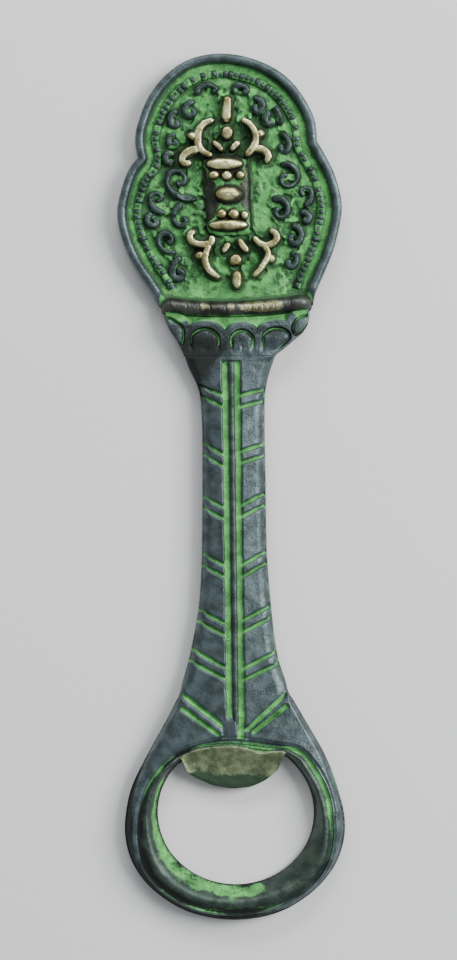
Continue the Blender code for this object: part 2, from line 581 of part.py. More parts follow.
def make_lip(brass):
    """The tongue that lifts the cap: thick where it springs from the ledge, thin and dished at its edge."""
    loops = []
    for x, upper, lower in LIP_COLUMNS:
        drop = upper - lower
        loops.append([(x, upper, 0.3), (x, upper, 4.3), (x, upper - 0.25 * drop, 4.5),
                      (x, upper - 0.6 * drop, 3.4), (x, lower, 2.5), (x, lower + 0.15 * drop, 1.4)])
    loft("pry_lip", loops, brass)


def main():
    clear_scene()
    dark = finish("dark_patina", (0.045, 0.055, 0.052), 0.45, 0.8)
    grey = finish("grey_patina", (0.12, 0.17, 0.18), 0.4, 0.8)
    green = finish("verdigris", (0.13, 0.30, 0.14), 0.8, 0.1)
    brass = finish("worn_brass", (0.66, 0.62, 0.44), 0.3, 1.0)
    make_head(dark, grey, green)
    make_sceptre(dark, brass)
    make_collar(dark)
    make_handle(grey, dark)
    make_ring(grey, green)
    make_liner(green)
    make_lip(brass)


main()
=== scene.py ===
"""The looks of the cast brass bottle opener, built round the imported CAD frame.

Every CAD node gets a finely meshed piece of its own, whose place and size are measured from the node.  The
opener is one casting, so the pieces meet without gaps, and their seams lie in the grooves.  Working units are
millimetres, in the CAD's frame: +Y towards the head, +Z out of the front.
"""

import math
from functools import partial

import bmesh
import bpy
import numpy as np
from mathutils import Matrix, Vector
from mathutils.bvhtree import BVHTree


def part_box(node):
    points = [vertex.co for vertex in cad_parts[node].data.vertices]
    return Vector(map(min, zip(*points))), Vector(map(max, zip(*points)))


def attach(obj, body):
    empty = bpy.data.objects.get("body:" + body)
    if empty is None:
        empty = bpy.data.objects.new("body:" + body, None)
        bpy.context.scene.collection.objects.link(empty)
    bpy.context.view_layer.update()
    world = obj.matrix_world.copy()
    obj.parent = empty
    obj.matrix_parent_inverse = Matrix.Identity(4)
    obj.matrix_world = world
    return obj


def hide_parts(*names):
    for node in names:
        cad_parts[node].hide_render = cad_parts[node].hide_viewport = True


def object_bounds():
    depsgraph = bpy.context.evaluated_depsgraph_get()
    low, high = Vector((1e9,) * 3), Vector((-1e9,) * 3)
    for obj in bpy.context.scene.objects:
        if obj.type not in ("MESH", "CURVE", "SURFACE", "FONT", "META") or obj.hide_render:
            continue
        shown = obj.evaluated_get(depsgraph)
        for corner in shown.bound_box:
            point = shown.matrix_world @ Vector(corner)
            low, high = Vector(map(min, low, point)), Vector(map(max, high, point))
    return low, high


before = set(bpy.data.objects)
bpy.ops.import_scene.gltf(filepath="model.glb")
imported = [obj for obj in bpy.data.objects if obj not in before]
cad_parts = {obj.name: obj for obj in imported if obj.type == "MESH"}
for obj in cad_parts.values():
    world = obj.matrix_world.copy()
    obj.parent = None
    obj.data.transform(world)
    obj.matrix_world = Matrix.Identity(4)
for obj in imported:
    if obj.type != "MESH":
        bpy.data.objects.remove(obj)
cad_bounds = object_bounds()

MM = 0.001
FAR = 200.0

# Casting: how finely the small relief is meshed, and how deep it sinks into what it stands on.
VOXEL = 0.12
SINK = 0.7
SOFTENING = 4
# Where faces meet at more than this angle, in radians, the edge stays sharp.
CREASE = 1.3


# ------ measuring the frame

def tree_of(*names):
    """The surface of CAD nodes in millimetres, for casting rays at."""
    vertices, faces = [], []
    for name in names:
        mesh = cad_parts[name].data
        first = len(vertices)
        vertices += [vertex.co / MM for vertex in mesh.vertices]
        faces += [tuple(first + index for index in face.vertices) for face in mesh.polygons]
    return BVHTree.FromPolygons(vertices, faces)


def reach(tree, start, direction):
    """Where a ray first meets the tree, or None."""
    return tree.ray_cast(Vector(start), Vector(direction))[0]


def top_z(tree, x, y, missing=math.nan):
    """The height of a surface seen from above."""
    hit = reach(tree, (x, y, FAR), (0, 0, -1))
    return hit.z if hit else missing


def box_mm(node):
    low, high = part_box(node)
    return low / MM, high / MM


def radii(tree, centre, height, angles, inwards):
    """The surface's distance from a centre in each direction, met from outside or from inside."""
    found = []
    for angle in angles:
        outward = Vector((math.cos(angle), math.sin(angle), 0.0))
        start = Vector((*centre, height)) + (FAR * outward if inwards else Vector())
        hit = reach(tree, start, -outward if inwards else outward)
        found.append((hit.xy - Vector(centre)).length if hit else math.nan)
    return np.array(found)


# ------ numbers

def smoothstep(low, high, value):
    share = np.clip((value - low) / (high - low), 0.0, 1.0)
    return share * share * (3.0 - 2.0 * share)


def softened(values, width, closed=False, axis=0):
    """Values blurred along one axis by a bell curve that many samples wide."""
    margin = max(1, int(3 * width))
    weights = np.exp(-0.5 * (np.arange(-margin, margin + 1) / width) ** 2)
    weights /= weights.sum()
    values = np.moveaxis(np.asarray(values, float), axis, 0)
    pad = [(margin, margin)] + [(0, 0)] * (values.ndim - 1)
    padded = np.pad(values, pad, mode="wrap" if closed else "edge")
    result = sum(weight * padded[k:k + len(values)] for k, weight in enumerate(weights))
    return np.moveaxis(result, 0, axis)


class Grain:
    """Smooth random values in space, between -1 and 1, the same on each run."""

    CELLS = 32

    def __init__(self, seed):
        self.table = np.random.default_rng(seed).uniform(-1.0, 1.0, (self.CELLS,) * 3)

    def at(self, points, size):
        places = np.asarray(points, float) / size
        cell = np.floor(places).astype(int)
        share = smoothstep(0.0, 1.0, places - cell)
        total = np.zeros(places.shape[:-1])
        for corner in np.ndindex(2, 2, 2):
            index = (cell + corner) % self.CELLS
            weight = np.prod(np.where(corner, share, 1.0 - share), axis=-1)
            total += weight * self.table[index[..., 0], index[..., 1], index[..., 2]]
        return total

    def rugged(self, points, size, octaves=3):
        return sum(self.at(points, size / 2 ** k) / 2 ** k for k in range(octaves))


class Map:
    """Values on a square grid over the plan, read between its cells."""

    def __init__(self, low, high, pitch):
        self.low = np.array(low, float)
        self.pitch = pitch
        self.size = np.ceil((np.array(high, float) - self.low) / pitch).astype(int) + 1
        self.values = np.full(self.size, math.nan)

    def like(self, values):
        """Other values on the same grid."""
        copy = Map(self.low, self.low, self.pitch)
        copy.size, copy.values = self.size, values
        return copy

    def centres(self):
        return [self.low[axis] + self.pitch * np.arange(self.size[axis]) for axis in (0, 1)]

    def blur(self, width):
        """A copy blurred by a bell curve that wide, in millimetres, without its unknown cells."""
        known = ~np.isnan(self.values)
        total, weight = np.where(known, self.values, 0.0), known.astype(float)
        for axis in (0, 1):
            total, weight = (softened(part, width / self.pitch, axis=axis) for part in (total, weight))
        return self.like(total / np.maximum(weight, 1e-6))

    def closed_up(self, radius):
        """A copy whose valleys are filled up to where a disc of that radius fits in."""
        cells = int(radius / self.pitch)
        span = range(-cells, cells + 1)
        disc = [(i, j) for i in span for j in span if math.hypot(i, j) * self.pitch <= radius]
        level = np.nan_to_num(self.values)
        for pick in (np.maximum, np.minimum):
            level = pick.reduce([np.roll(level, shift, (0, 1)) for shift in disc])
        return self.like(level)

    def fill_gaps(self, rounds):
        """Spreads the known values into the unknown cells around them."""
        for _ in range(rounds):
            known = ~np.isnan(self.values)
            total, count = np.zeros(self.size), np.zeros(self.size)
            for shift in ((1, 0), (-1, 0), (0, 1), (0, -1)):
                total += np.roll(np.where(known, self.values, 0.0), shift, (0, 1))
                count += np.roll(known, shift, (0, 1))
            spread = ~known & (count > 0)
            self.values[spread] = total[spread] / count[spread]
        self.values = np.nan_to_num(self.values)

    def at(self, x, y):
        place = (np.stack([x, y], -1) - self.low) / self.pitch
        place = np.clip(place, 0.0, self.size - 1.001)
        cell = place.astype(int)
        share = place - cell
        (i, j), (u, v) = np.moveaxis(cell, -1, 0), np.moveaxis(share, -1, 0)
        grid = self.values
        near = grid[i, j] * (1 - u) + grid[i + 1, j] * u
        far = grid[i, j + 1] * (1 - u) + grid[i + 1, j + 1] * u
        return near * (1 - v) + far * v


coarse_grain, fine_grain = Grain(11), Grain(23)


def unevenness(points, amount=1.0):
    """The waviness and pitting that a hand-made wax leaves on the metal."""
    return amount * (0.05 * coarse_grain.at(points, 3.1) + 0.03 * fine_grain.rugged(points, 0.9))


def unit(arrows):
    return arrows / np.linalg.norm(arrows, axis=1, keepdims=True)


def between(starts, ends, shares):
    """Rows of places from each start to its end, at those shares of the way."""
    shares = np.asarray(shares)[None, :, None]
    return starts[:, None] * (1 - shares) + ends[:, None] * shares


def walked(line):
    """How far along a line each of its points lies."""
    return np.r_[0.0, np.cumsum(np.linalg.norm(np.diff(line, axis=0), axis=1))]


def placed(line, marks):
    """The places that far along a line."""
    return np.column_stack([np.interp(marks, walked(line), line[:, axis]) for axis in (0, 1)])


# ------ making pieces

made = []


def vectors(items, key):
    """A vector of each of a mesh's vertices, in an array."""
    values = np.empty(len(items) * 3)
    items.foreach_get(key, values)
    return values.reshape(-1, 3)


def show(name, data):
    """A new object in the scene."""
    shape = bpy.data.objects.new(name, data)
    bpy.context.scene.collection.objects.link(shape)
    return shape


def at_level(plan, level):
    """Points in plan with a height, or with a height for each."""
    return np.column_stack([plan, np.full(len(plan), level)])


def piece(name, vertices, faces, material, stands_for):
    """A smooth-shaded mesh from millimetres, riding on the opener's one body in a CAD node's place."""
    mesh = bpy.data.meshes.new(name)
    mesh.from_pydata((np.asarray(vertices, float) * MM).tolist(), [], faces)
    solid = bmesh.new()
    solid.from_mesh(mesh)
    bmesh.ops.recalc_face_normals(solid, faces=solid.faces)
    if solid.calc_volume(signed=True) < 0.0:
        bmesh.ops.reverse_faces(solid, faces=solid.faces)
    solid.to_mesh(mesh)
    solid.free()
    mesh.materials.append(material)
    mesh.shade_smooth()
    mesh.set_sharp_from_angle(angle=CREASE)
    shape = show(name, mesh)
    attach(shape, "root")
    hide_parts(stands_for)
    made.append(shape)


def loft(name, loops, material, stands_for, closed=False):
    """A closed solid through loops of equally many points: a ring, or a bar with a fan at each end."""
    loops = np.asarray(loops, float)
    count, size = loops.shape[:2]
    vertices = loops.reshape(-1, 3)
    around = np.arange(size)
    faces = []
    for index in range(count if closed else count - 1):
        here, there = index * size, (index + 1) % count * size
        after = (around + 1) % size
        faces += np.stack([here + around, here + after, there + after, there + around], 1).tolist()
    if not closed:
        vertices = np.vstack([vertices, loops[0].mean(0), loops[-1].mean(0)])
        for middle, first in ((count * size, 0), (count * size + 1, (count - 1) * size)):
            faces += [(middle, first + k, first + (k + 1) % size) for k in range(size)]
    piece(name, vertices, faces, material, stands_for)


def rounded(share):
    """How far up a round end has risen, from 0 at its tip to 1."""
    return np.sqrt(np.clip(1.0 - (1.0 - share) ** 2, 0.0, 1.0))


def thread(name, path, side, half, base, rise, skirt, power, columns, wave, material, stands_for):
    """A rolled thread of wax along a path: arches of that half width and rise, on a skirt below the base."""
    turns = np.linspace(0.0, math.pi, columns)[None, :]
    both_ends = ((0, 0), (1, 1))
    across = np.pad(np.cos(turns) * half[:, None], both_ends, mode="edge")
    up = np.pad(base + np.sin(turns) ** power * rise[:, None], both_ends, constant_values=base - skirt)
    loops = np.dstack([path[:, None] + np.reshape(side, (-1, 1, 2)) * across[..., None], up])
    loops[..., 2] += unevenness(loops, wave)
    loft(name, loops, material, stands_for)


def cast(name, material, sink=SINK, softening=SOFTENING, wave=1.0, swell=0.2, crown=0.0, buried=0.0):
    """A CAD node's own shape as soft cast metal: rounded, slightly uneven, its foot sunk in what bears it.

    A crown is worn flat that far down from the top, and parts of a buried shape lie lower than the rest.
    """
    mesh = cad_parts[name].data.copy()
    shape = bmesh.new()
    shape.from_mesh(mesh)
    bmesh.ops.scale(shape, vec=(1 / MM,) * 3, verts=shape.verts)
    bmesh.ops.remove_doubles(shape, verts=shape.verts, dist=0.001)
    foot = min(vertex.co.z for vertex in shape.verts)
    for vertex in shape.verts:
        if vertex.co.z < foot + 0.05:
            vertex.co.z -= sink
    shape.to_mesh(mesh)
    shape.free()
    rough = show("rough", mesh)
    remesh = rough.modifiers.new("remesh", "REMESH")
    remesh.mode = "VOXEL"
    remesh.voxel_size = VOXEL
    soften = rough.modifiers.new("soften", "SMOOTH")
    soften.factor = 0.5
    soften.iterations = softening
    refined = rough.evaluated_get(bpy.context.evaluated_depsgraph_get()).to_mesh()
    points, normals = vectors(refined.vertices, "co"), vectors(refined.vertices, "normal")
    faces = [tuple(face.vertices) for face in refined.polygons]
    bpy.data.objects.remove(rough)
    bpy.data.meshes.remove(mesh)
    points += normals * (swell + unevenness(points, wave))[:, None]
    worn = points[:, 2].max() - crown
    points[:, 2] -= 0.7 * np.clip(points[:, 2] - worn, 0.0, None)
    points[:, 2] -= buried * smoothstep(0.0, 0.5, coarse_grain.at(points * (1.0, 1.0, 0.0), 2.7))
    piece(name.replace("scroll", "curl") + "_cast", points, faces, material, name)


# ------ materials

def node(tree, kind, **settings):
    fresh = tree.nodes.new(kind)
    for key, value in settings.items():
        setattr(fresh, key, value)
    return fresh


def plug(tree, target, values):
    """Feeds sockets of a node, by name or place, with numbers, colours or other nodes' outputs."""
    for key, value in values.items():
        socket = target.inputs[key]
        if isinstance(value, bpy.types.NodeSocket):
            tree.links.new(value, socket)
        else:
            socket.default_value = (*value, 1.0) if isinstance(value, tuple) else value


def math_node(tree, operation, first, *others):
    """The first value combined with each of the others in turn."""
    for other in others:
        maths = node(tree, "ShaderNodeMath", operation=operation)
        plug(tree, maths, {0: first, 1: other})
        first = maths.outputs[0]
    return first


def noise_node(tree, scale, detail=4.0, roughness=0.55):
    place = node(tree, "ShaderNodeTexCoord").outputs["Object"]
    noise = node(tree, "ShaderNodeTexNoise")
    plug(tree, noise, {"Vector": place, "Scale": scale, "Detail": detail, "Roughness": roughness})
    return noise.outputs["Fac"]


def ramp(tree, value, low, high):
    """0 below low and 1 above high, with a soft step between."""
    step = node(tree, "ShaderNodeMapRange", interpolation_type="SMOOTHSTEP")
    plug(tree, step, {"Value": value, "From Min": low, "From Max": high})
    return step.outputs["Result"]


def blend(tree, share, first, second, kind="RGBA"):
    mix = node(tree, "ShaderNodeMix", data_type=kind)
    from_socket, to_socket, result = {"RGBA": (6, 7, 2), "FLOAT": (2, 3, 0)}[kind]
    plug(tree, mix, {0: share, from_socket: first, to_socket: second})
    return mix.outputs[result]


def patina(name, dark, light, gloss, green_bias=0.0, bright_bias=-0.9, shade_and_dark_patches_bias=0.0,
           shade_and_dark_patches_tone=(0.013, 0.017, 0.015)):
    """Cast brass under an oxide skin, with verdigris in its hollows, bare metal where hands rub it, and
    painted shade with dark patches where the darkening attribute asks.
    """
    material = bpy.data.materials.new(name)
    material.use_nodes = True
    tree = material.node_tree
    shader = tree.nodes["Principled BSDF"]
    mix, step = partial(blend, tree), partial(ramp, tree)
    add, times = (partial(math_node, tree, operation) for operation in ("ADD", "MULTIPLY"))

    blotch = noise_node(tree, 420.0, 3.0)
    speck = noise_node(tree, 2600.0, 5.0, 0.6)
    dust = noise_node(tree, 9000.0, 2.0)

    oxide = mix(step(blotch, 0.32, 0.68), dark, light)
    oxide = mix(step(speck, 0.58, 0.9), oxide, tuple(0.55 * tone for tone in dark))

    salt = mix(step(blotch, 0.35, 0.7), (0.075, 0.25, 0.072), (0.15, 0.50, 0.14))
    salt = mix(step(speck, 0.5, 0.8), salt, (0.035, 0.10, 0.045))
    ragged = times(add(speck, -0.5), 0.9)

    def share_of(name, roughened, bias, low, high):
        """Where an attribute, roughened by the specks, shows."""
        attribute = node(tree, "ShaderNodeAttribute", attribute_name=name).outputs["Fac"]
        return step(add(attribute, times(ragged, roughened), bias), low, high)

    greened = share_of("green", 1.0, green_bias, 0.35, 0.65)
    # Painted shade and dark patches: where the darkening attribute asks, the colour goes to the skin's dark
    # tone.
    shade_and_dark_patches = share_of("shade_and_dark_patches", 0.9, shade_and_dark_patches_bias, 0.2, 0.7)
    rubbed = share_of("bright", 0.55, bright_bias, 0.35, 0.75)
    metal = mix(step(blotch, 0.38, 0.7), (0.36, 0.32, 0.13), (0.93, 0.90, 0.49))
    metal = mix(step(speck, 0.55, 0.8), metal, (0.30, 0.26, 0.12))
    colour = mix(greened, oxide, salt)
    colour = mix(shade_and_dark_patches, colour, shade_and_dark_patches_tone)
    colour = mix(rubbed, colour, metal)

    covered = math_node(tree, "MAXIMUM", greened, times(shade_and_dark_patches, 0.65))
    sheen = mix(covered, 0.5, 0.1, "FLOAT")
    metallic = mix(rubbed, mix(covered, 0.62, 0.0, "FLOAT"), 1.0, "FLOAT")
    roughness = mix(rubbed, mix(covered, gloss, 0.85, "FLOAT"), 0.3, "FLOAT")
    roughness = add(roughness, times(ragged, 0.18))

    bump = node(tree, "ShaderNodeBump")
    relief = add(speck, times(dust, 0.4))
    plug(tree, bump, {"Strength": 0.8, "Distance": 0.00009, "Height": relief})
    plug(tree, shader, {"Base Color": colour, "Specular IOR Level": sheen, "Metallic": metallic,
                        "Roughness": roughness, "Normal": bump.outputs["Normal"]})
    return material


# Each skin's dark tone and darkening bias set how deep its painted shade and dark patches go.
grey_skin = patina("blue_grey_oxide", (0.04, 0.056, 0.058), (0.09, 0.122, 0.128), 0.34, shade_and_dark_patches_bias=-0.25)
dark_skin = patina("black_oxide", (0.022, 0.03, 0.029), (0.06, 0.08, 0.076), 0.4, shade_and_dark_patches_bias=-0.25)
relief_skin = patina("scrollwork", (0.02, 0.034, 0.03), (0.055, 0.082, 0.076), 0.4, green_bias=0.02,
                     shade_and_dark_patches_bias=0.05, shade_and_dark_patches_tone=(0.02, 0.036, 0.026))
liner_skin = patina("ring_oxide", (0.024, 0.039, 0.032), (0.056, 0.082, 0.064), 0.42, shade_and_dark_patches_bias=-0.1)
field_skin = patina("verdigris_field", (0.02, 0.042, 0.024), (0.055, 0.105, 0.06), 0.6, green_bias=0.45,
                    shade_and_dark_patches_bias=-0.06, shade_and_dark_patches_tone=(0.05, 0.118, 0.05))
barrel_skin = patina("barrel_oxide", (0.017, 0.021, 0.015), (0.048, 0.054, 0.036), 0.42, green_bias=-0.15,
                     shade_and_dark_patches_bias=-0.05, shade_and_dark_patches_tone=(0.024, 0.028, 0.02))
brass_skin = patina("rubbed_brass", (0.03, 0.028, 0.021), (0.1, 0.09, 0.06), 0.42, green_bias=-0.6,
                    bright_bias=-0.1)
lip_skin = patina("lip_brass", (0.09, 0.118, 0.062), (0.25, 0.305, 0.16), 0.42, green_bias=-0.1,
                  bright_bias=-0.6, shade_and_dark_patches_tone=(0.026, 0.05, 0.027))
rail_skin = patina("rail_brass", (0.02, 0.022, 0.02), (0.075, 0.08, 0.068), 0.38, bright_bias=-0.5)
collar_skin = patina("collar_oxide", (0.04, 0.056, 0.058), (0.09, 0.122, 0.128), 0.34, shade_and_dark_patches_bias=-0.25)


# ------ handle and shoulders of the ring

RING_NODES = ("cap_ring", "ring_liner")
HANDLE_PITCH = 0.12
HANDLE_ROWS = 560
# How far the shank's side edges reach down past the seam.
FOOT_DEPTH = 1.6
SEAM_DEPTH = 0.75
SEAM_SEARCH = 5
HOLE_CENTRE = (0.9, -60.2)
WAIST = 2.0
# The body's edge in section: how far in, and how high, up to where the bevel starts.
BODY_WALL = ((0.55, 0.0), (0.22, 0.25), (0.05, 0.8), (0.0, 1.5), (0.0, 2.1), (0.05, 2.7), (0.16, 3.2))
BEVEL_START = 0.3
BACK_COLUMNS = 14
# How much the shoulders fall, per millimetre away from the spine.
DROOP = 0.06


shank_low, shank_high = box_mm("handle_shank")


def measure_body():
    """A map of the front of handle and ring, from the CAD, with the seam between them as a groove."""
    tree = tree_of("handle_shank", "cap_ring")
    low, high = box_mm("cap_ring")
    heights = Map((low.x - 1, low.y - 1), (high.x + 1, shank_high.y + 1), HANDLE_PITCH)
    xs, ys = heights.centres()
    heights.values = np.array([[top_z(tree, x, y) for y in ys] for x in xs])
    known = ~np.isnan(heights.values)
    above = sum(np.roll(known, -k, 1) for k in range(1, SEAM_SEARCH)) > 0
    below = sum(np.roll(known, k, 1) for k in range(1, SEAM_SEARCH)) > 0
    covered = heights.like((known | (above & below)).astype(float))
    seam = heights.like((~known & above & below & (ys > HOLE_CENTRE[1] + 14.0)).astype(float))
    heights.fill_gaps(12)
    heights = heights.blur(0.13)
    heights.values += 0.25 * np.minimum(heights.values - heights.blur(0.9).values, 0.0)
    beside, seam = seam.blur(0.9), seam.blur(0.3)
    roof = shank_high.z - DROOP * np.abs(xs)[:, None]
    inside = np.clip(1.6 * covered.blur(0.6).values - 0.6, 0.0, 1.0)
    heights.values += np.clip(beside.values * 9.0, 0.0, 1.0) * inside * np.maximum(roof - heights.values, 0.0)
    heights.values -= SEAM_DEPTH * np.clip(seam.values * 1.9, 0.0, 1.0)
    return heights


body = measure_body()
shank_tree, ring_tree, liner_tree = (tree_of(name) for name in ("handle_shank", *RING_NODES))
body_top = shank_high.z
spine_low, spine_high = box_mm("handle_spine")
collar_foot = shank_high.y


def spine_centre(y):
    """The spine's middle at any Y, on the CAD rib's straight line; the rib is 1 mm wide."""
    share = (spine_high.y - y) / (spine_high.y - spine_low.y)
    return spine_low.x + 0.5 + share * (spine_high.x - spine_low.x - 1.0)


def seam_y(x):
    """Where the ring's seam with the handle lies at an X: in the middle of the CAD's gap."""
    upper = reach(shank_tree, (x, -FAR, 1.0), (0, 1, 0))
    lower = reach(ring_tree, (x, -30.0, 1.0), (0, -1, 0))
    return (upper.y + lower.y) / 2


def stripe(x, y, start, end, half_width):
    """How near points are to a straight cut: 1 on its middle, 0 beyond its half width."""
    start, end = np.array(start), np.array(end)
    along = end - start
    share = np.clip(((x - start[0]) * along[0] + (y - start[1]) * along[1]) / (along @ along), 0.0, 1.0)
    distance = np.hypot(x - start[0] - share * along[0], y - start[1] - share * along[1])
    return np.clip(1.0 - (distance / half_width) ** 2, 0.0, 1.0)


edge_rows = np.linspace(shank_low.y, collar_foot, 260)


def side_edges(tree, rows, height=WAIST):
    """The left and right edge at each Y of the rows."""
    edges = []
    for side in (-1, 1):
        hits = [reach(tree, (side * FAR, y, height), (-side, 0, 0)) for y in rows]
        met = np.array([hit is not None for hit in hits])
        places = [hit.x for hit in hits if hit is not None]
        edges.append(np.column_stack([np.interp(np.arange(len(rows)), np.flatnonzero(met), places), rows]))
    return edges


shank_left, shank_right = (edge[:, 0] for edge in side_edges(tree_of("handle_shank", "cap_ring"), edge_rows))


def chevron_ends(x, y):
    """How deep the chevrons are cut close to the sides, taken from further in along each cut."""
    in_left = x - np.interp(y, edge_rows, shank_left)
    in_right = np.interp(y, edge_rows, shank_right) - x
    slope = 0.35 + 0.3 * smoothstep(14.0, -30.0, y)
    cut = np.zeros_like(x)
    for depth_in, step, rise in ((in_left, 1.3, 0.6), (in_right, -1.3, slope)):
        deep = np.clip(body_top - 0.25 - body.at(x + step, y - rise * abs(step)), 0.0, 0.7)
        cut = np.maximum(cut, deep * smoothstep(1.2, 0.5, depth_in))
    return cut * smoothstep(-37.0, -35.5, y) * smoothstep(20.0, 18.0, y)


# The last chevron pair's lower groove lies on the ring's shoulders, below the seam.
SHOULDER_GROOVES = [
    ((near, seam_y(near) - near_drop), (far, seam_y(far) - far_drop))
    for near, near_drop, far, far_drop in ((-2.4, 2.3, -8.8, 2.6), (4.3, 1.6, 10.2, 2.5))
]
GROOVE_TOP_Y = spine_high.y + 0.1
CHANNEL_FLOOR = 4.15
# The left groove of the channel fades out here; the right one turns into the groove along the ledge.
FADE_START, FADE_END, FADE_FOOT = -40.5, -43.5, -47.3
CHANNEL_TURN = ((1.75, -42.5), (1.85, -47.0))
CHANNEL_CORNER = ((1.85, -46.8), (3.2, -48.0))


def body_height(x, y):
    """The front's height over handle and shoulders."""
    z = body.at(x, y)
    z = z - 0.8 * chevron_ends(x, y)
    for start, end in SHOULDER_GROOVES:
        z = z - 0.7 * stripe(x, y, start, end, 0.55)
    aside = x - spine_centre(y)
    roof = body_top - DROOP * np.abs(aside)
    z = np.where(np.abs(aside) < 3.4, np.maximum(z, CHANNEL_FLOOR), z)
    closed = smoothstep(GROOVE_TOP_Y - 0.5, GROOVE_TOP_Y + 0.1, y) * smoothstep(3.4, 2.0, np.abs(aside))
    closed = np.maximum(closed, smoothstep(collar_foot - 1.2, collar_foot - 0.2, y))
    faded = smoothstep(FADE_START, FADE_END, y) * smoothstep(0.9, 0.5, aside) * smoothstep(-2.9, -2.1, aside)
    faded = np.maximum(faded, smoothstep(2.9, 2.2, np.abs(aside)) * smoothstep(-44.6, -45.2, y))
    faded *= y > FADE_FOOT
    z = z + closed * (roof - z)
    z = z + faded * (roof - 0.12 - z)
    turned = np.maximum(stripe(x, y, *CHANNEL_TURN, 0.75), stripe(x, y, *CHANNEL_CORNER, 0.7))
    z = np.where(turned > 0.0, np.minimum(z, roof - 0.75 * np.sqrt(turned)), z)
    return z + unevenness(np.dstack([x, y, 0.0 * x]), 0.4)


def slab(name, left, right, height, columns, material, stands_for, bend=None):
    """A solid whose rows run from the left edge to the right, with the given height function on top."""
    across = unit(right - left)
    plan = between(left + BEVEL_START * across, right - BEVEL_START * across, np.linspace(0.0, 1.0, columns))
    plan = bend(plan) if bend else plan
    top = np.dstack([plan, height(plan[..., 0], plan[..., 1])])
    walls = [np.stack([at_level(start + inwards * towards, np.minimum(level, top[:, 0, 2]))
                       for inwards, level in BODY_WALL], 1)
             for start, towards in ((left, across), (right, -across))]
    steps = np.linspace(0.0, 1.0, BACK_COLUMNS)[1:-1]
    back = top[:, np.rint(steps * (columns - 1)).astype(int)]
    back[..., 0] = between(walls[0][:, 0], walls[1][:, 0], steps)[..., 0]
    back[..., 2] = 0.0
    loops = np.concatenate([walls[0], top, walls[1][:, ::-1], back[:, ::-1]], axis=1)
    # The end that slips under the neighbour drops away first, so that its cap stays inside.
    foot = loops[-1:].copy()
    foot[..., 1] += 0.02 * np.sign(loops[-1, 0, 1] - loops[-2, 0, 1])
    foot[..., 2] = np.minimum(foot[..., 2], WAIST)
    loft(name, np.concatenate([loops, foot]), material, stands_for)


def make_handle():
    """The shank, whose rows bend into the V of its seam with the ring and slip under the ring's edge."""
    both = tree_of("handle_shank", "cap_ring", "lotus_collar")
    shares = np.linspace(0.0, 1.0, HANDLE_ROWS)
    edges = []
    for side, foot_x in ((0, shank_low.x + 0.6), (1, shank_high.x - 0.6)):
        ys = shank_high.y + shares * (seam_y(foot_x) - FOOT_DEPTH - shank_high.y)
        edges.append(np.column_stack([softened(side_edges(both, ys)[side][:, 0], 8.0), ys]))

    def bend(plan):
        """Pulls the rows down towards the spine, the more the nearer they are to the foot."""
        foot_x = plan[-1, :, 0]
        foot_y = np.array([seam_y(min(max(x, shank_low.x + 0.45), shank_high.x - 0.45)) for x in foot_x])
        to_side = np.minimum(foot_x - foot_x[0], foot_x[-1] - foot_x)
        foot_y -= 0.45 + 0.2 * np.exp(-((foot_x - 0.9) / 2.9) ** 4) + 1.1 * smoothstep(1.5, 0.2, to_side)
        sag = foot_y - plan[-1, :, 1]
        plan[..., 1] += sag[None, :] * (shares[:, None] ** 1.5)
        return plan

    def height(x, y):
        """The front, a touch lower in the last rows, which lie under the ring's edge."""
        return body_height(x, y) - 0.03 * smoothstep(0.989, 0.993, shares)[:, None]

    slab("shank_shoulders", *edges, height, 96, grey_skin, "handle_shank", bend)


def make_spine():
    ys = np.linspace(spine_high.y, spine_low.y + 1.7, 420)
    path = np.column_stack([spine_centre(ys), ys])
    half = 0.6 + 0.05 * coarse_grain.at(at_level(path, 0.0), 1.7)
    lift = rounded(np.minimum(1.0, np.minimum((ys[0] - ys) / 0.5, (ys - ys[-1]) / 2.5)))
    skirt = 0.6
    rise = (spine_high.z - spine_low.z + skirt) * (0.4 + 0.6 * lift) - skirt
    thread("spine_rib", path, (1.0, 0.0), half, spine_low.z, rise, skirt, 0.7, 11, 0.9,
           dark_skin, "handle_spine")


# ------ ring, liner and lip

STATIONS = 760
GROOVE_FLOOR = 4.05
# The seam with the handle, seen from the hole: its farthest place and its half angle in degrees.
SEAM_REACH, SEAM_TURN = 27.5, 24.6


def polar_points(angles, distances):
    return np.stack([distances * np.cos(angles), distances * np.sin(angles)], -1) + HOLE_CENTRE


# By angle round the hole: the ring's outer edge, the middle of the groove and the hole's edge.
angles = np.linspace(0.0, math.tau, STATIONS, endpoint=False)
ring_outer = radii(ring_tree, HOLE_CENTRE, WAIST, angles, inwards=True)
ring_inner = radii(ring_tree, HOLE_CENTRE, 1.0, angles, inwards=False)
groove_middle = softened(ring_inner - 0.15, 4.0, closed=True)
hole_edge = radii(liner_tree, HOLE_CENTRE, 1.2, angles, inwards=False)


def groove_width(turns):
    """The groove is broad along the ledge and down the right side, and again at the bottom left."""
    turn = np.degrees(turns) % 360.0
    ledge = smoothstep(-25.0, 15.0, (turn + 180.0) % 360.0 - 180.0) * smoothstep(118.0, 95.0, turn)
    bottom = smoothstep(205.0, 225.0, turn) * smoothstep(285.0, 262.0, turn)
    return 0.2 + (0.35 + 0.2 * smoothstep(50.0, 70.0, turn)) * ledge + 0.3 * bottom


# The slope into the groove: the share of its width, how far beyond that, and the height.
GROOVE_SLOPE = ((1.0, 0.12, 4.5), (0.8, 0.06, 4.25), (0.45, 0.0, GROOVE_FLOOR),
                (0.0, -0.02, GROOVE_FLOOR - 0.05), (0.0, -0.02, 2.5), (0.0, -0.02, 0.0))


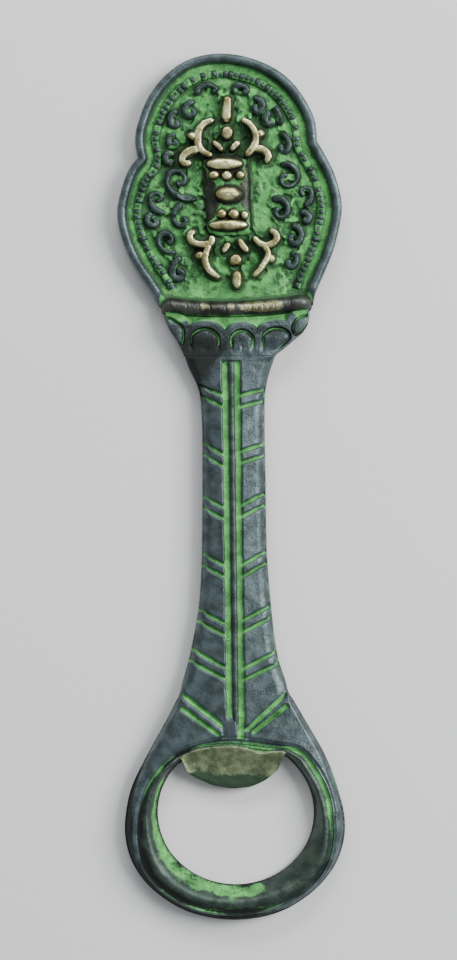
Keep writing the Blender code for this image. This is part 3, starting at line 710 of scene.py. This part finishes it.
def make_ring():
    """The outer band and the shoulders up to the handle, with the groove's outer slope on its inside."""
    x, y = polar_points(angles, ring_outer).T
    on_seam = (y > shank_low.y + 0.5) & (x > shank_low.x + 0.35) & (x < shank_high.x - 0.35)
    on_seam &= (ring_outer < SEAM_REACH) & (np.abs(np.degrees(angles) - 90.0) < SEAM_TURN)
    outer = ring_outer.copy()
    outer[~on_seam] = softened(ring_outer, 3.0, closed=True)[~on_seam]
    outer[on_seam] += 0.3
    shares = np.linspace(0.0, 1.0, 84) ** 1.25
    start = np.where(on_seam, 0.0, BEVEL_START)
    wide = groove_width(angles)
    inner = groove_middle + 0.25 + wide
    reach_out = (outer - start)[:, None] * (1 - shares) + inner[:, None] * shares
    from_groove = reach_out - inner[:, None]
    plan = polar_points(angles[:, None], reach_out)
    height = body_height(plan[..., 0], plan[..., 1])
    height -= 0.25 * (1 - smoothstep(0.0, 0.6, from_groove))
    width = np.maximum(outer - inner, 0.5)[:, None]
    height -= 0.95 * smoothstep(-50.0, -58.0, plan[..., 1]) * (from_groove / width).clip(0.0, 1.0) ** 2
    top = np.dstack([plan, height])

    wall = [at_level(polar_points(angles, outer - inwards * ~on_seam), np.minimum(level, height[:, 0]))
            for inwards, level in BODY_WALL]
    slope = [at_level(polar_points(angles, groove_middle + wide * share + out), level)
             for share, out, level in GROOVE_SLOPE]
    wall, slope = np.stack(wall, 1), np.stack(slope, 1)
    back = between(slope[:, -1], wall[:, 0], (0.2, 0.4, 0.6, 0.8))
    loops = np.concatenate([wall, top, slope, back], axis=1)
    loft("ring_band", loops, grey_skin, "cap_ring", closed=True)


def liner_crest():
    """The ridge's middle by angle, as the highest place across the CAD liner."""
    crest = np.full(STATIONS, math.nan)
    for index in np.flatnonzero(~np.isnan(hole_edge)):
        tries = np.linspace(groove_middle[index] - 0.2, hole_edge[index] + 0.1, 40)
        spots = polar_points(angles[index], tries)
        levels = np.array([top_z(liner_tree, *spot, missing=0.0) for spot in spots])
        crest[index] = tries[levels > levels.max() - 0.03].mean()
    return crest


# Under the lip: how far the ridge is from the groove, and how wide the wall behind it is.
LEDGE_RIDGE = 0.6
LEDGE_WALL = 1.3
LEDGE_SINK = 0.6


def make_liner():
    """The ridge inside the groove and the wall that slopes from it to the hole, or under the lip."""
    crest = liner_crest()
    present = ~np.isnan(crest)
    ridge_top = box_mm("ring_liner")[1].z
    groove = groove_middle
    room = softened(np.where(present, groove - crest, LEDGE_RIDGE), 6.0, closed=True)
    wall = softened(np.where(present, crest - hole_edge, LEDGE_WALL), 6.0, closed=True)
    crest = groove - room
    hole = crest - wall
    # Distance from the hole's centre and height, from the groove over the ridge and down to the back.
    section = (
        (groove + 0.15, 0.0), (groove + 0.15, 2.0), (groove + 0.15, GROOVE_FLOOR - 0.05),
        (groove, GROOVE_FLOOR), (groove - 0.25 * room, GROOVE_FLOOR + 0.12),
        (groove - 0.5 * room, ridge_top - 0.2), (groove - 0.75 * room, ridge_top - 0.03),
        (crest, ridge_top + 0.03), (crest - 0.12 * wall, ridge_top - 0.04),
        (crest - 0.25 * wall, ridge_top - 0.3), (crest - 0.4 * wall, ridge_top - 0.85),
        (crest - 0.55 * wall, ridge_top - 1.4), (crest - 0.7 * wall, ridge_top - 2.0),
        (crest - 0.84 * wall, ridge_top - 2.7), (crest - 0.94 * wall, 1.55), (hole, 1.1), (hole, 0.7),
        (hole + 0.1, 0.3), (hole + 0.35, 0.0),
    )
    coarse = np.stack([at_level(polar_points(angles, out), level) for out, level in section], 1)
    steps = np.array((0.0, 0.33, 0.67))[:, None]
    fine = coarse[:, :-1, None] * (1 - steps) + coarse[:, 1:, None] * steps
    loops = np.concatenate([fine.reshape(STATIONS, -1, 3), coarse[:, -1:]], axis=1)
    sunk = softened(np.where(present, 0.0, LEDGE_SINK), 8.0, closed=True)
    loops[..., 2] -= sunk[:, None] * (loops[..., 2] > GROOVE_FLOOR)
    soft = softened(loops, 1.2, axis=1)
    soft[:, :2], soft[:, -1] = loops[:, :2], loops[:, -1]
    soft[..., 2] = np.where(soft[..., 2] > 0.3, soft[..., 2] + unevenness(soft, 0.9), soft[..., 2])
    loft("liner_ridge_and_wall", soft, liner_skin, "ring_liner", closed=True)


# The height of the lip's front and back at its edge.
LIP_EDGE, LIP_BACK = 2.75, 1.35


def fore_edges(name, xs, upper_level, lower_level):
    """The Y of a node's upper and of its lower edge at each X, met at those heights."""
    tree = tree_of(name)
    return np.array([[reach(tree, (x, FAR, upper_level), (0, -1, 0)).y,
                      reach(tree, (x, -FAR, lower_level), (0, 1, 0)).y] for x in xs]).T


def make_lip():
    """The tongue: its crest along the ledge, dished in front, thin at its edge."""
    low, high = box_mm("pry_lip")
    xs = np.linspace(low.x + 0.02, high.x - 0.02, 150)
    upper, lower = fore_edges("pry_lip", xs, 3.0, 2.45)
    upper, lower = softened(upper, 4.0) + 0.2, softened(lower, 5.0) - 0.15
    upper -= 0.75 * np.exp(-((xs - 5.4) / 2.2) ** 2)
    spread = (xs - (low.x + high.x) / 2) / (high.x - low.x) * 2
    lower += (upper - lower) * 0.75 * smoothstep(0.86, 1.0, np.abs(spread))
    xs = xs + 0.6 * np.sign(spread) * np.abs(spread) ** 5
    down = np.linspace(0.0, 1.0, 56)[None, :]
    drop = (upper - lower)[:, None]
    y = upper[:, None] - down * drop
    reach_down = np.clip(drop / 7.0, 0.2, 1.0)
    dish = 0.5 * np.sin(math.pi * np.clip(down * 1.1, 0.0, 1.0)) * reach_down
    z = high.z - 0.05 - (high.z - LIP_EDGE) * down ** 1.1 * reach_down - dish
    z -= 0.5 * np.exp(-(down * drop / 0.3) ** 2)
    top = np.stack([np.broadcast_to(xs[:, None], y.shape), y, z], -1)
    top[..., 2] += unevenness(top, 1.6)
    thick = top[:, -1, 2]
    nose = [np.column_stack([xs, lower - forward, LIP_BACK + (thick - LIP_BACK) * share])
            for forward, share in ((0.072, 0.85), (0.108, 0.6), (0.072, 0.35))]
    back = [np.column_stack([xs, lower + share * (upper - lower), np.full(len(xs), LIP_BACK - 0.05 - share)])
            for share in (0.05, 0.3, 0.6, 0.9, 1.0)]
    loops = np.concatenate([top, np.stack(nose, 1), np.stack(back, 1)], axis=1)
    loft("cap_lip", loops, lip_skin, "pry_lip")


# ------ head

HEAD_HEART = (0.0, 54.0)
# Where the outline's lobes meet, and how much sharper than in the CAD.
NOTCHES = ((-18.1, 61.0, 1.0), (16.3, 64.0, 0.5))
RIM_WALL = (
    (0.34, 0.22), (0.1, 0.6), (0.0, 1.3), (-0.02, 2.2), (-0.01, 2.9), (0.03, 3.5), (0.14, 3.9),
    (0.32, 4.1), (0.58, 4.2), (0.9, 4.24), (1.2, 4.2), (1.44, 4.08), (1.6, 3.8), (1.7, 3.3),
    (1.74, 2.5), (1.2, 1.9), (0.7, 1.0),
)
plate_high = box_mm("head_plate")[1]
rail_low, rail_high = box_mm("collar_rail")


def head_outline():
    """The plate's outline, with its notches sharpened."""
    turns = np.linspace(-math.pi / 2, 1.5 * math.pi, 760, endpoint=False)
    distances = radii(tree_of("head_plate"), HEAD_HEART, 1.5, turns, inwards=True)
    points = np.column_stack([np.cos(turns), np.sin(turns)]) * distances[:, None] + HEAD_HEART
    points = softened(points, 0.8, closed=True)
    for x, y, depth in NOTCHES:
        near = np.exp(-np.hypot(points[:, 0] - x, points[:, 1] - y) / 1.3)
        points += unit(np.array(HEAD_HEART) - points) * (depth * near)[:, None]
    return points


def inset(points, distance):
    """A closed counter-clockwise outline, moved inwards."""
    along = unit(softened(np.roll(points, -1, 0) - np.roll(points, 1, 0), 3.0, closed=True))
    return points + distance * np.column_stack([-along[:, 1], along[:, 0]])


outline = head_outline()


def field_height(points, depth):
    """The plate's front: a plain border, then a field left bumpy by scraps of wax."""
    flat = at_level(points, 0.0)
    inner = smoothstep(5.0, 6.0, depth) * smoothstep(rail_high.y + 0.5, rail_high.y + 4.0, points[:, 1])
    scraps = smoothstep(0.0, 0.5, coarse_grain.at(flat, 1.3) + 0.5 * fine_grain.at(flat, 0.7))
    bumps = 0.10 * coarse_grain.at(flat, 1.9) + 0.10 * fine_grain.rugged(flat, 0.7)
    return plate_high.z + inner * (0.5 * scraps) + bumps * (0.4 + 0.6 * inner)


def make_plate():
    back = ((6.0, 0.0), (3.0, 0.0), (1.2, 0.0), (0.45, 0.0), (0.2, 0.2), (0.12, 0.6), (0.12, 1.6))
    loops = [at_level(inset(outline, distance), level) for distance, level in back]
    for distance in (0.14, 0.2, *np.arange(0.5, 6.2, 0.2)):
        ring = inset(outline, distance)
        rounding = 0.25 - distance * 0.5 if distance < 0.3 else 0.0
        loops.append(at_level(ring, field_height(ring, distance) - rounding))
    last = loops[-1][:, :2]
    for share in np.linspace(1.0, 0.0, 105, endpoint=False)[1:]:
        ring = last * share + np.array(HEAD_HEART) * (1 - share)
        loops.append(at_level(ring, field_height(ring, FAR)))
    loft("head_field", loops, field_skin, "head_plate")


def make_rim():
    keep = inset(outline, 0.8)[:, 1] > rail_high.y - 1.6
    loops = np.stack([at_level(inset(outline, distance)[keep], level) for distance, level in RIM_WALL], 1)
    ends = np.minimum(np.arange(len(loops)), np.arange(len(loops))[::-1]) / 12.0
    sink = 1.2 * (1.0 - smoothstep(0.0, 1.0, ends))
    loops[..., 2] -= sink[:, None] * (loops[..., 2] > 2.6)
    loops[..., 2] += unevenness(loops, 0.9) * (loops[..., 2] > 2.0)
    loft("rim_roll", loops, grey_skin, "head_rim")


def make_beads():
    """The ladder strip: pellets of uneven size between the two grooves."""
    low, high = box_mm("bead_border")
    line = inset(outline, 3.75)
    line = line[line[:, 1] > low.y - 0.3]
    length = walked(line)[-1]
    pitch, per_bead = 1.02, 10
    count = int(length / pitch)
    marks = np.linspace(0.0, length, count * per_bead + 1)
    path = placed(line, marks)
    along = unit(softened(np.gradient(path, axis=0), 4.0))
    side = np.column_stack([along[:, 1], -along[:, 0]])
    bead = marks / length * count
    swell = np.clip(1.0 - (2.0 * (bead % 1.0) - 1.0) ** 4, 0.0, 1.0)
    size = np.random.default_rng(5).uniform(0.4, 1.0, count + 1)[bead.astype(int)]
    width = 0.8 * (0.9 + 0.1 * swell) * (0.75 + 0.25 * size)
    rise = (high.z - low.z + 0.1) * (0.62 + 0.38 * swell) * (0.35 + 0.65 * size)
    thread("ladder_beads", path, side, width, plate_high.z, rise, 0.2, 0.8, 13, 2.0,
           relief_skin, "bead_border")


def make_relief():
    """The curls on the field, then the sceptre."""
    nodes = sorted(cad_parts)
    for name in nodes:
        if name.startswith("scroll_"):
            cast(name, relief_skin, wave=3.0, crown=0.2, buried=0.45)
    cast("sceptre_barrel", barrel_skin, wave=3.0, softening=45, swell=0.45)
    for name in nodes:
        if name.startswith("prong_"):
            cast(name, brass_skin, wave=2.0, swell=0.22, crown=0.5)
        elif name.startswith(("spike_", "leaf_", "bud_")):
            cast(name, brass_skin, wave=1.6, swell=0.25, crown=0.3)
        elif name.startswith(("disc_", "petal_", "sceptre_bulb")):
            cast(name, brass_skin, sink=0.5)


# ------ collar and rail

# Where the thread's marks lie along the rail, and how deep.
MARKS = [(-11.2 + 1.31 * k + 0.5 * math.sin(7.0 * k), 0.07 + 0.07 * math.cos(3.0 * k)) for k in range(20)]


def make_rail():
    """The half-round bar at the foot of the head, with the marks of a thread wound round it."""
    xs = np.linspace(rail_low.x + 0.02, rail_high.x - 0.02, 420)
    upper, lower = fore_edges("collar_rail", xs, 3.0, 3.0)
    middle = softened((upper + lower) / 2, 12.0)
    half = np.median(upper - lower) / 2 + 0.35
    ends = np.minimum((xs - xs[0]) / 1.6, 1.0)
    ends = np.minimum(ends, (xs[-1] - xs) / 1.6)
    taper = rounded(ends)
    marks = np.max([depth * np.exp(-((xs - place) / 0.16) ** 2) for place, depth in MARKS], axis=0)
    base = plate_high.z - 0.3
    rise = (rail_high.z - base) * (0.35 + 0.65 * taper) - marks
    half *= 0.55 + 0.45 * taper
    path = np.column_stack([xs + 0.5 * np.sign(xs - xs.mean()) * (1.0 - ends), middle])
    thread("rail_roll", path, (0.0, 1.0), half, base, rise, 0.4, 0.75, 29, 1.6, rail_skin, "collar_rail")


# The panels between the arches: how far their crowns are lowered, and their width against the CAD petal's.
CROWN_DROP = 1.55
PANEL_SHARE = {"2": 0.94, "3": 0.84, "4": 0.94}
# How far the ribs reach from the panels, and the height at which the flare's sides are measured.
RIB_WIDTH = 1.85
COLLAR_WAIST = 1.5
flare_rows = edge_rows[-40:] + 5.0
flare_right = side_edges(tree_of("lotus_collar", "handle_shank"), flare_rows, COLLAR_WAIST)[1][:, 0]


def ring_of(name):
    """The base outline of a CAD petal, evenly spread and smoothed."""
    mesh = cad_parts[name].data
    base = min(vertex.co.z for vertex in mesh.vertices) + 0.00002
    spots = {(round(v.co.x / MM, 3), round(v.co.y / MM, 3)) for v in mesh.vertices if v.co.z < base}
    spots = np.array(sorted(spots))
    aside = spots - spots.mean(0)
    spots = spots[np.argsort(np.arctan2(aside[:, 1], aside[:, 0]))]
    loop = np.vstack([spots, spots[:1]])
    marks = np.linspace(0.0, walked(loop)[-1], 240, endpoint=False)
    return softened(placed(loop, marks), 3.0, closed=True)


def panel_of(name):
    """A petal's panel: its CAD outline, with room for the arch over it."""
    edge = ring_of(name)
    if name[-1] in PANEL_SHARE:
        middle, crown = edge[:, 1].mean(), edge[:, 1].max()
        edge[:, 1] -= CROWN_DROP * smoothstep(middle - 1.0, crown, edge[:, 1])
        centre = edge[:, 0].mean()
        aside = (edge[:, 0] - centre) * PANEL_SHARE[name[-1]]
        below = smoothstep(middle + 0.2, middle - 1.2, edge[:, 1])
        edge[:, 0] = centre + aside * (1.0 - below) + np.sign(aside) * aside.max() * below
        edge[:, 1] += (collar_foot - 1.0 - edge[:, 1]) * below
        edge[:, 0] = np.minimum(edge[:, 0], np.interp(edge[:, 1], flare_rows, flare_right) - 1.3)
    return edge


petals = {name: panel_of(name) for name in sorted(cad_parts) if name.startswith("collar_petal_")}


def make_collar():
    """The flared body below the head: ribs round the petals, and a low scalloped band above them."""
    tree = tree_of("lotus_collar", "handle_shank")
    low, high = box_mm("lotus_collar")
    ys = np.linspace(collar_foot, high.y + 1.2, 110)
    left, right = side_edges(tree, np.minimum(ys, high.y - 0.15), COLLAR_WAIST)
    left[:, 1] = right[:, 1] = ys
    left, right = softened(left, 2.0), softened(right, 2.0)

    def height(x, y):
        roof = body_top - DROOP * np.abs(x - spine_centre(y))
        spots = np.vstack(list(petals.values()))
        near = np.array([np.hypot(x - px, y - py) for px, py in spots]).min(0)
        rib = roof + 0.25 - 1.0 * smoothstep(RIB_WIDTH - 0.3, RIB_WIDTH + 0.5, near)
        rib -= 0.8 * smoothstep(0.55, 0.15, near)
        settled = smoothstep(collar_foot + 0.4, collar_foot + 3.4, y)
        z = roof + (rib - roof) * settled
        return z + unevenness(np.dstack([x, y, 0.0 * x]), 0.4 + 0.9 * settled)

    slab("collar_flare", left, right, height, 240, collar_skin, "lotus_collar")


# A petal's section: the share of the way to its middle, and the height against its top.
PETAL_SECTION = ((0.0, -1.5), (0.0, -0.8), (0.04, -0.45), (0.1, -0.22), (0.2, -0.12), (0.35, -0.06),
                 (0.5, -0.03), (0.7, -0.01), (0.9, 0.0))


def make_petals():
    """Dark arched petals, each with a line along its arch, which run out into the handle at their feet."""
    stops = np.arange(len(PETAL_SECTION))
    steps = np.arange(0.0, stops[-1], 0.25)
    ways, falls = (np.interp(steps, stops, column) for column in zip(*PETAL_SECTION))
    for name, edge in petals.items():
        top = box_mm(name)[1].z
        loops = []
        for way, fall in zip(ways, falls):
            flat = edge * (1 - way) + edge.mean(0) * way
            flat[:, 1] = np.maximum(flat[:, 1], collar_foot)
            runs_out = smoothstep(collar_foot + 3.6, collar_foot - 0.3, flat[:, 1])
            level = top - 0.1 + fall * (1 - 0.8 * runs_out * (way > 0)) - 0.9 * runs_out
            loops.append(at_level(flat, level))
        loops = np.array(loops)
        loops[..., 2] += unevenness(loops, 1.2)
        loft("arch_" + name, loops, collar_skin, name)


# ------ patina and painted shade by height

TOP_PITCH = 0.2

def top_map():
    """A map of the finished front: the highest point of all pieces in each cell."""
    low, high = (np.array(corner) / MM for corner in cad_bounds)
    heights = Map(low[:2] - 2, high[:2] + 2, TOP_PITCH)
    for shape in made:
        points = vectors(shape.data.vertices, "co") / MM
        cells = np.rint((points[:, :2] - heights.low) / TOP_PITCH).astype(int)
        np.fmax.at(heights.values, (cells[:, 0], cells[:, 1]), points[:, 2])
    return heights


# Soft oval stains: middle, half width, half length and strength. Under the darkening key, the ovals on the
# ring's left side and bottom paint shade where its faces turn from the light; the others darken, or with a
# negative strength lighten, the listed patches.
STAINS = {
    "shade_and_dark_patches": (
        (-6.8, 21.4, 5.5, 4.8, 1.15), (-16.5, -72, 4.5, 5, 0.8), (-0.8, 54.5, 5.2, 4.4, 0.4),
        (-3, 62.5, 2.2, 1.8, 0.7), (2.6, 63.2, 2.2, 2.4, 0.8), (-0.6, 61.4, 4, 1, 0.6),
        (-1, 78, 15, 2.4, -0.5), (-20, -60, 3.4, 14, 1.3), (-12.5, -77, 6, 4, 1.2),
        (3, -80.4, 14, 3.2, 1.6), (7.4, -42.6, 4.2, 3.4, 0.4), (-6.6, -52.4, 2.2, 2.2, 0.6),
        (1, -48.2, 11, 1.2, -0.7), (-0.6, -28, 0.6, 15, 0.55),
    ),
    "bright": (
        (-4.7, 33.3, 1.2, 0.6, 0.2), (0.4, 33.6, 1.2, 0.5, 0.25), (4.2, 33.2, 1.3, 1, 0.85),
        (6.8, 33, 1.6, 1, 0.9), (8.8, 32.9, 1, 0.8, 0.7), (-11, 33, 3.6, 2.5, -0.8),
        (12.5, 33, 2.6, 2.5, -0.8), (14.9, -48, 1.4, 2, 0.35), (2.5, -48.9, 8, 0.7, 1.1),
        (-7, -49.8, 3, 0.8, 0.9), (9.4, -49.2, 1.2, 0.8, 0.5), (2, -51, 7, 1, 0.3),
        (-1, -75.8, 9, 0.7, 0.75),
    ),
    "green": (
        (4, -74.5, 3, 1.2, 0.5), (1, -77.9, 6, 0.5, 0.4), (10.8, 27.6, 1.6, 2.8, -1.4),
        (8.6, 22.3, 0.6, 2.5, 0.7), (-17.8, -57, 3, 9, -0.9), (14, -72, 6, 6, -0.9),
        (-9.5, -50.5, 5, 3, -0.5), (-1, 24.2, 14, 0.9, -1.5), (13, 28.4, 2.8, 2.6, -1.2),
        (20.4, -59, 0.8, 9, -1.5), (-9.6, -38.2, 0.8, 0.8, -1), (10.8, -38.2, 0.8, 0.8, -1),
    ),
}


def weather():
    """Writes what the materials read at each vertex: verdigris in hollows, rubbed bare metal, and darkening
    that paints shade in hollows and on steep flanks, with dark patches.
    """
    heights = top_map()
    near, mid, wide = heights.blur(0.4), heights.blur(0.8), heights.blur(1.5)
    heights.fill_gaps(6)
    filled = heights.closed_up(1.05).blur(0.25)
    for shape in made:
        mesh, skin = shape.data, shape.data.materials[0]
        points, facing = vectors(mesh.vertices, "co") / MM, vectors(mesh.vertex_normals, "vector")[:, 2]
        x, y, z = points.T
        coarse, fine = partial(coarse_grain.at, points), partial(fine_grain.at, points)
        sunk_near, sunk_mid, sunk_wide = (level.at(x, y) - z for level in (near, mid, wide))
        tilt = 1 - np.clip(facing, 0, 1)
        recess = np.clip(filled.at(x, y) - z, 0.0, 1.0)
        recess *= smoothstep(2.2, 2.6, z) * smoothstep(0.2, 0.5, facing)
        green = 0.08 + 2.2 * recess - 0.3 * tilt
        bright = 0.35 - 0.9 * sunk_mid - 0.5 * sunk_wide - 0.8 * tilt
        # Painted shade: hollows below the local level and steep flanks are darkened.
        shade_and_dark_patches = 0.9 * sunk_near + 0.25 * sunk_mid + 0.2 * tilt - 0.1
        if skin is liner_skin:
            turn = np.degrees(np.arctan2(y - HOLE_CENTRE[1], x - HOLE_CENTRE[0])) % 360.0
            shaded = smoothstep(138.0, 165.0, turn) * smoothstep(302.0, 282.0, turn) * smoothstep(4.3, 2.6, z)
            green = 0.1 + 0.8 * shaded + 1.2 * recess + 0.3 * fine_grain.rugged(points, 2.2)
            shade_and_dark_patches += 0.35 * smoothstep(0.0, 0.6, coarse(2.6))
        elif skin is brass_skin:
            share = (z - z.max()) / min(z.max() - plate_high.z, 1.6)
            bright = 0.95 * smoothstep(-0.8, -0.15, share) - 0.4 * tilt + 0.4 * fine(1.6)
        elif skin is rail_skin:
            bright += 0.4 * coarse_grain.at(points * (1.0, 0.15, 0.15), 0.9) - 0.25 * smoothstep(3.0, -2.0, x)
        elif skin is lip_skin:
            # Painted shade on the lip's lower face, which slopes away from the light, with random dark
            # patches over all of it.
            shade_and_dark_patches += 0.35 * coarse(2.4) + 1.05 * smoothstep(-52.2, -53.8, y)
            shade_and_dark_patches += 0.25 * (fine(1.0) + fine(2.1))
            green += 0.25 * smoothstep(-53.4, -54.6, y) + 0.35 * fine(0.9)
            bright += 0.35 * smoothstep(-52.6, -51.2, y) * fine(1.7) - smoothstep(-52.8, -53.8, y)
        elif skin is field_skin:
            green -= 0.9 * np.clip(z - plate_high.z - 0.22, 0.0, 0.4) + 0.2 * fine(0.8)
            # Painted shade in the field's hollows, with random dark mottling.
            shade_and_dark_patches += 0.2 * coarse(4.3) + 0.25 * fine(1.3) + 0.5 * sunk_mid
        elif skin in (collar_skin, grey_skin):
            # Darker towards the collar, and reaching further down on the left.
            shade_and_dark_patches += 0.9 * smoothstep(-1.5, 2.0, y - 24.5 - 0.45 * np.minimum(x, 4.5)) * (y < 32.5)
            shade_and_dark_patches -= 0.12 * coarse(2.2)
            if skin is collar_skin:
                shade_and_dark_patches -= 2.5 * np.clip(recess - 0.2, 0.0, 1.0) + 1.4 * smoothstep(29.6, 30.6, y)
                green += 0.4 * smoothstep(29.8, 30.8, y)
        for name, values in (("green", green), ("bright", bright), ("shade_and_dark_patches", shade_and_dark_patches)):
            for across, up, half_width, half_length, amount in STAINS[name]:
                values += amount * np.exp(-((x - across) / half_width) ** 2 - ((y - up) / half_length) ** 2)
            layer = mesh.attributes.new(name, "FLOAT", "POINT")
            layer.data.foreach_set("value", np.clip(values, 0.0, 1.0).astype(np.float32))


# ------ studio

def make_studio():
    floor_mesh = bpy.data.meshes.new("floor")
    half = 1.2
    corners = [(-half, -half, 0), (half, -half, 0), (half, half, 0), (-half, half, 0)]
    floor_mesh.from_pydata(corners, [], [(0, 1, 2, 3)])
    floor = show("floor", floor_mesh)
    plain = bpy.data.materials.new("pale_floor")
    plain.use_nodes = True
    shader = plain.node_tree.nodes["Principled BSDF"]
    plug(plain.node_tree, shader, {"Base Color": (0.72, 0.71, 0.69), "Roughness": 0.8})
    floor_mesh.materials.append(plain)

    world = bpy.data.worlds.new("studio")
    bpy.context.scene.world = world
    world.use_nodes = True
    sky = world.node_tree.nodes["Background"]
    plug(world.node_tree, sky, {"Color": (0.80, 0.84, 0.90), "Strength": 0.5})

    for name, place, size, power, tint in (
        ("key", (0.68, 0.25, 0.63), (0.45, 0.6), 14.0, (0.97, 1.0, 1.0)),
        ("top", (-0.05, 0.75, 0.55), (0.7, 0.3), 6.0, (0.95, 0.98, 1.0)),
    ):
        lamp = bpy.data.lights.new(name, "AREA")
        lamp.shape = "RECTANGLE"
        lamp.size, lamp.size_y = size
        lamp.energy = power
        lamp.color = tint
        light = show(name, lamp)
        light.location = place
        light.rotation_euler = Vector(place).to_track_quat("Z", "Y").to_euler()


def make_camera():
    """Straight above the opener, with the head at the top of the picture."""
    lens = bpy.data.cameras.new("camera")
    camera = show("camera", lens)
    distance, view_height = 0.5, 0.1768
    lens.sensor_width = 36.0
    lens.lens = lens.sensor_width * distance / view_height
    camera.location = (-0.00046, 0.00129, distance + 0.0035)
    bpy.context.scene.camera = camera


def main():
    for make in (make_camera, make_studio, make_handle, make_spine, make_ring, make_liner, make_lip,
                 make_plate, make_rim, make_beads, make_relief, make_rail, make_collar, make_petals, weather):
        make()


main()
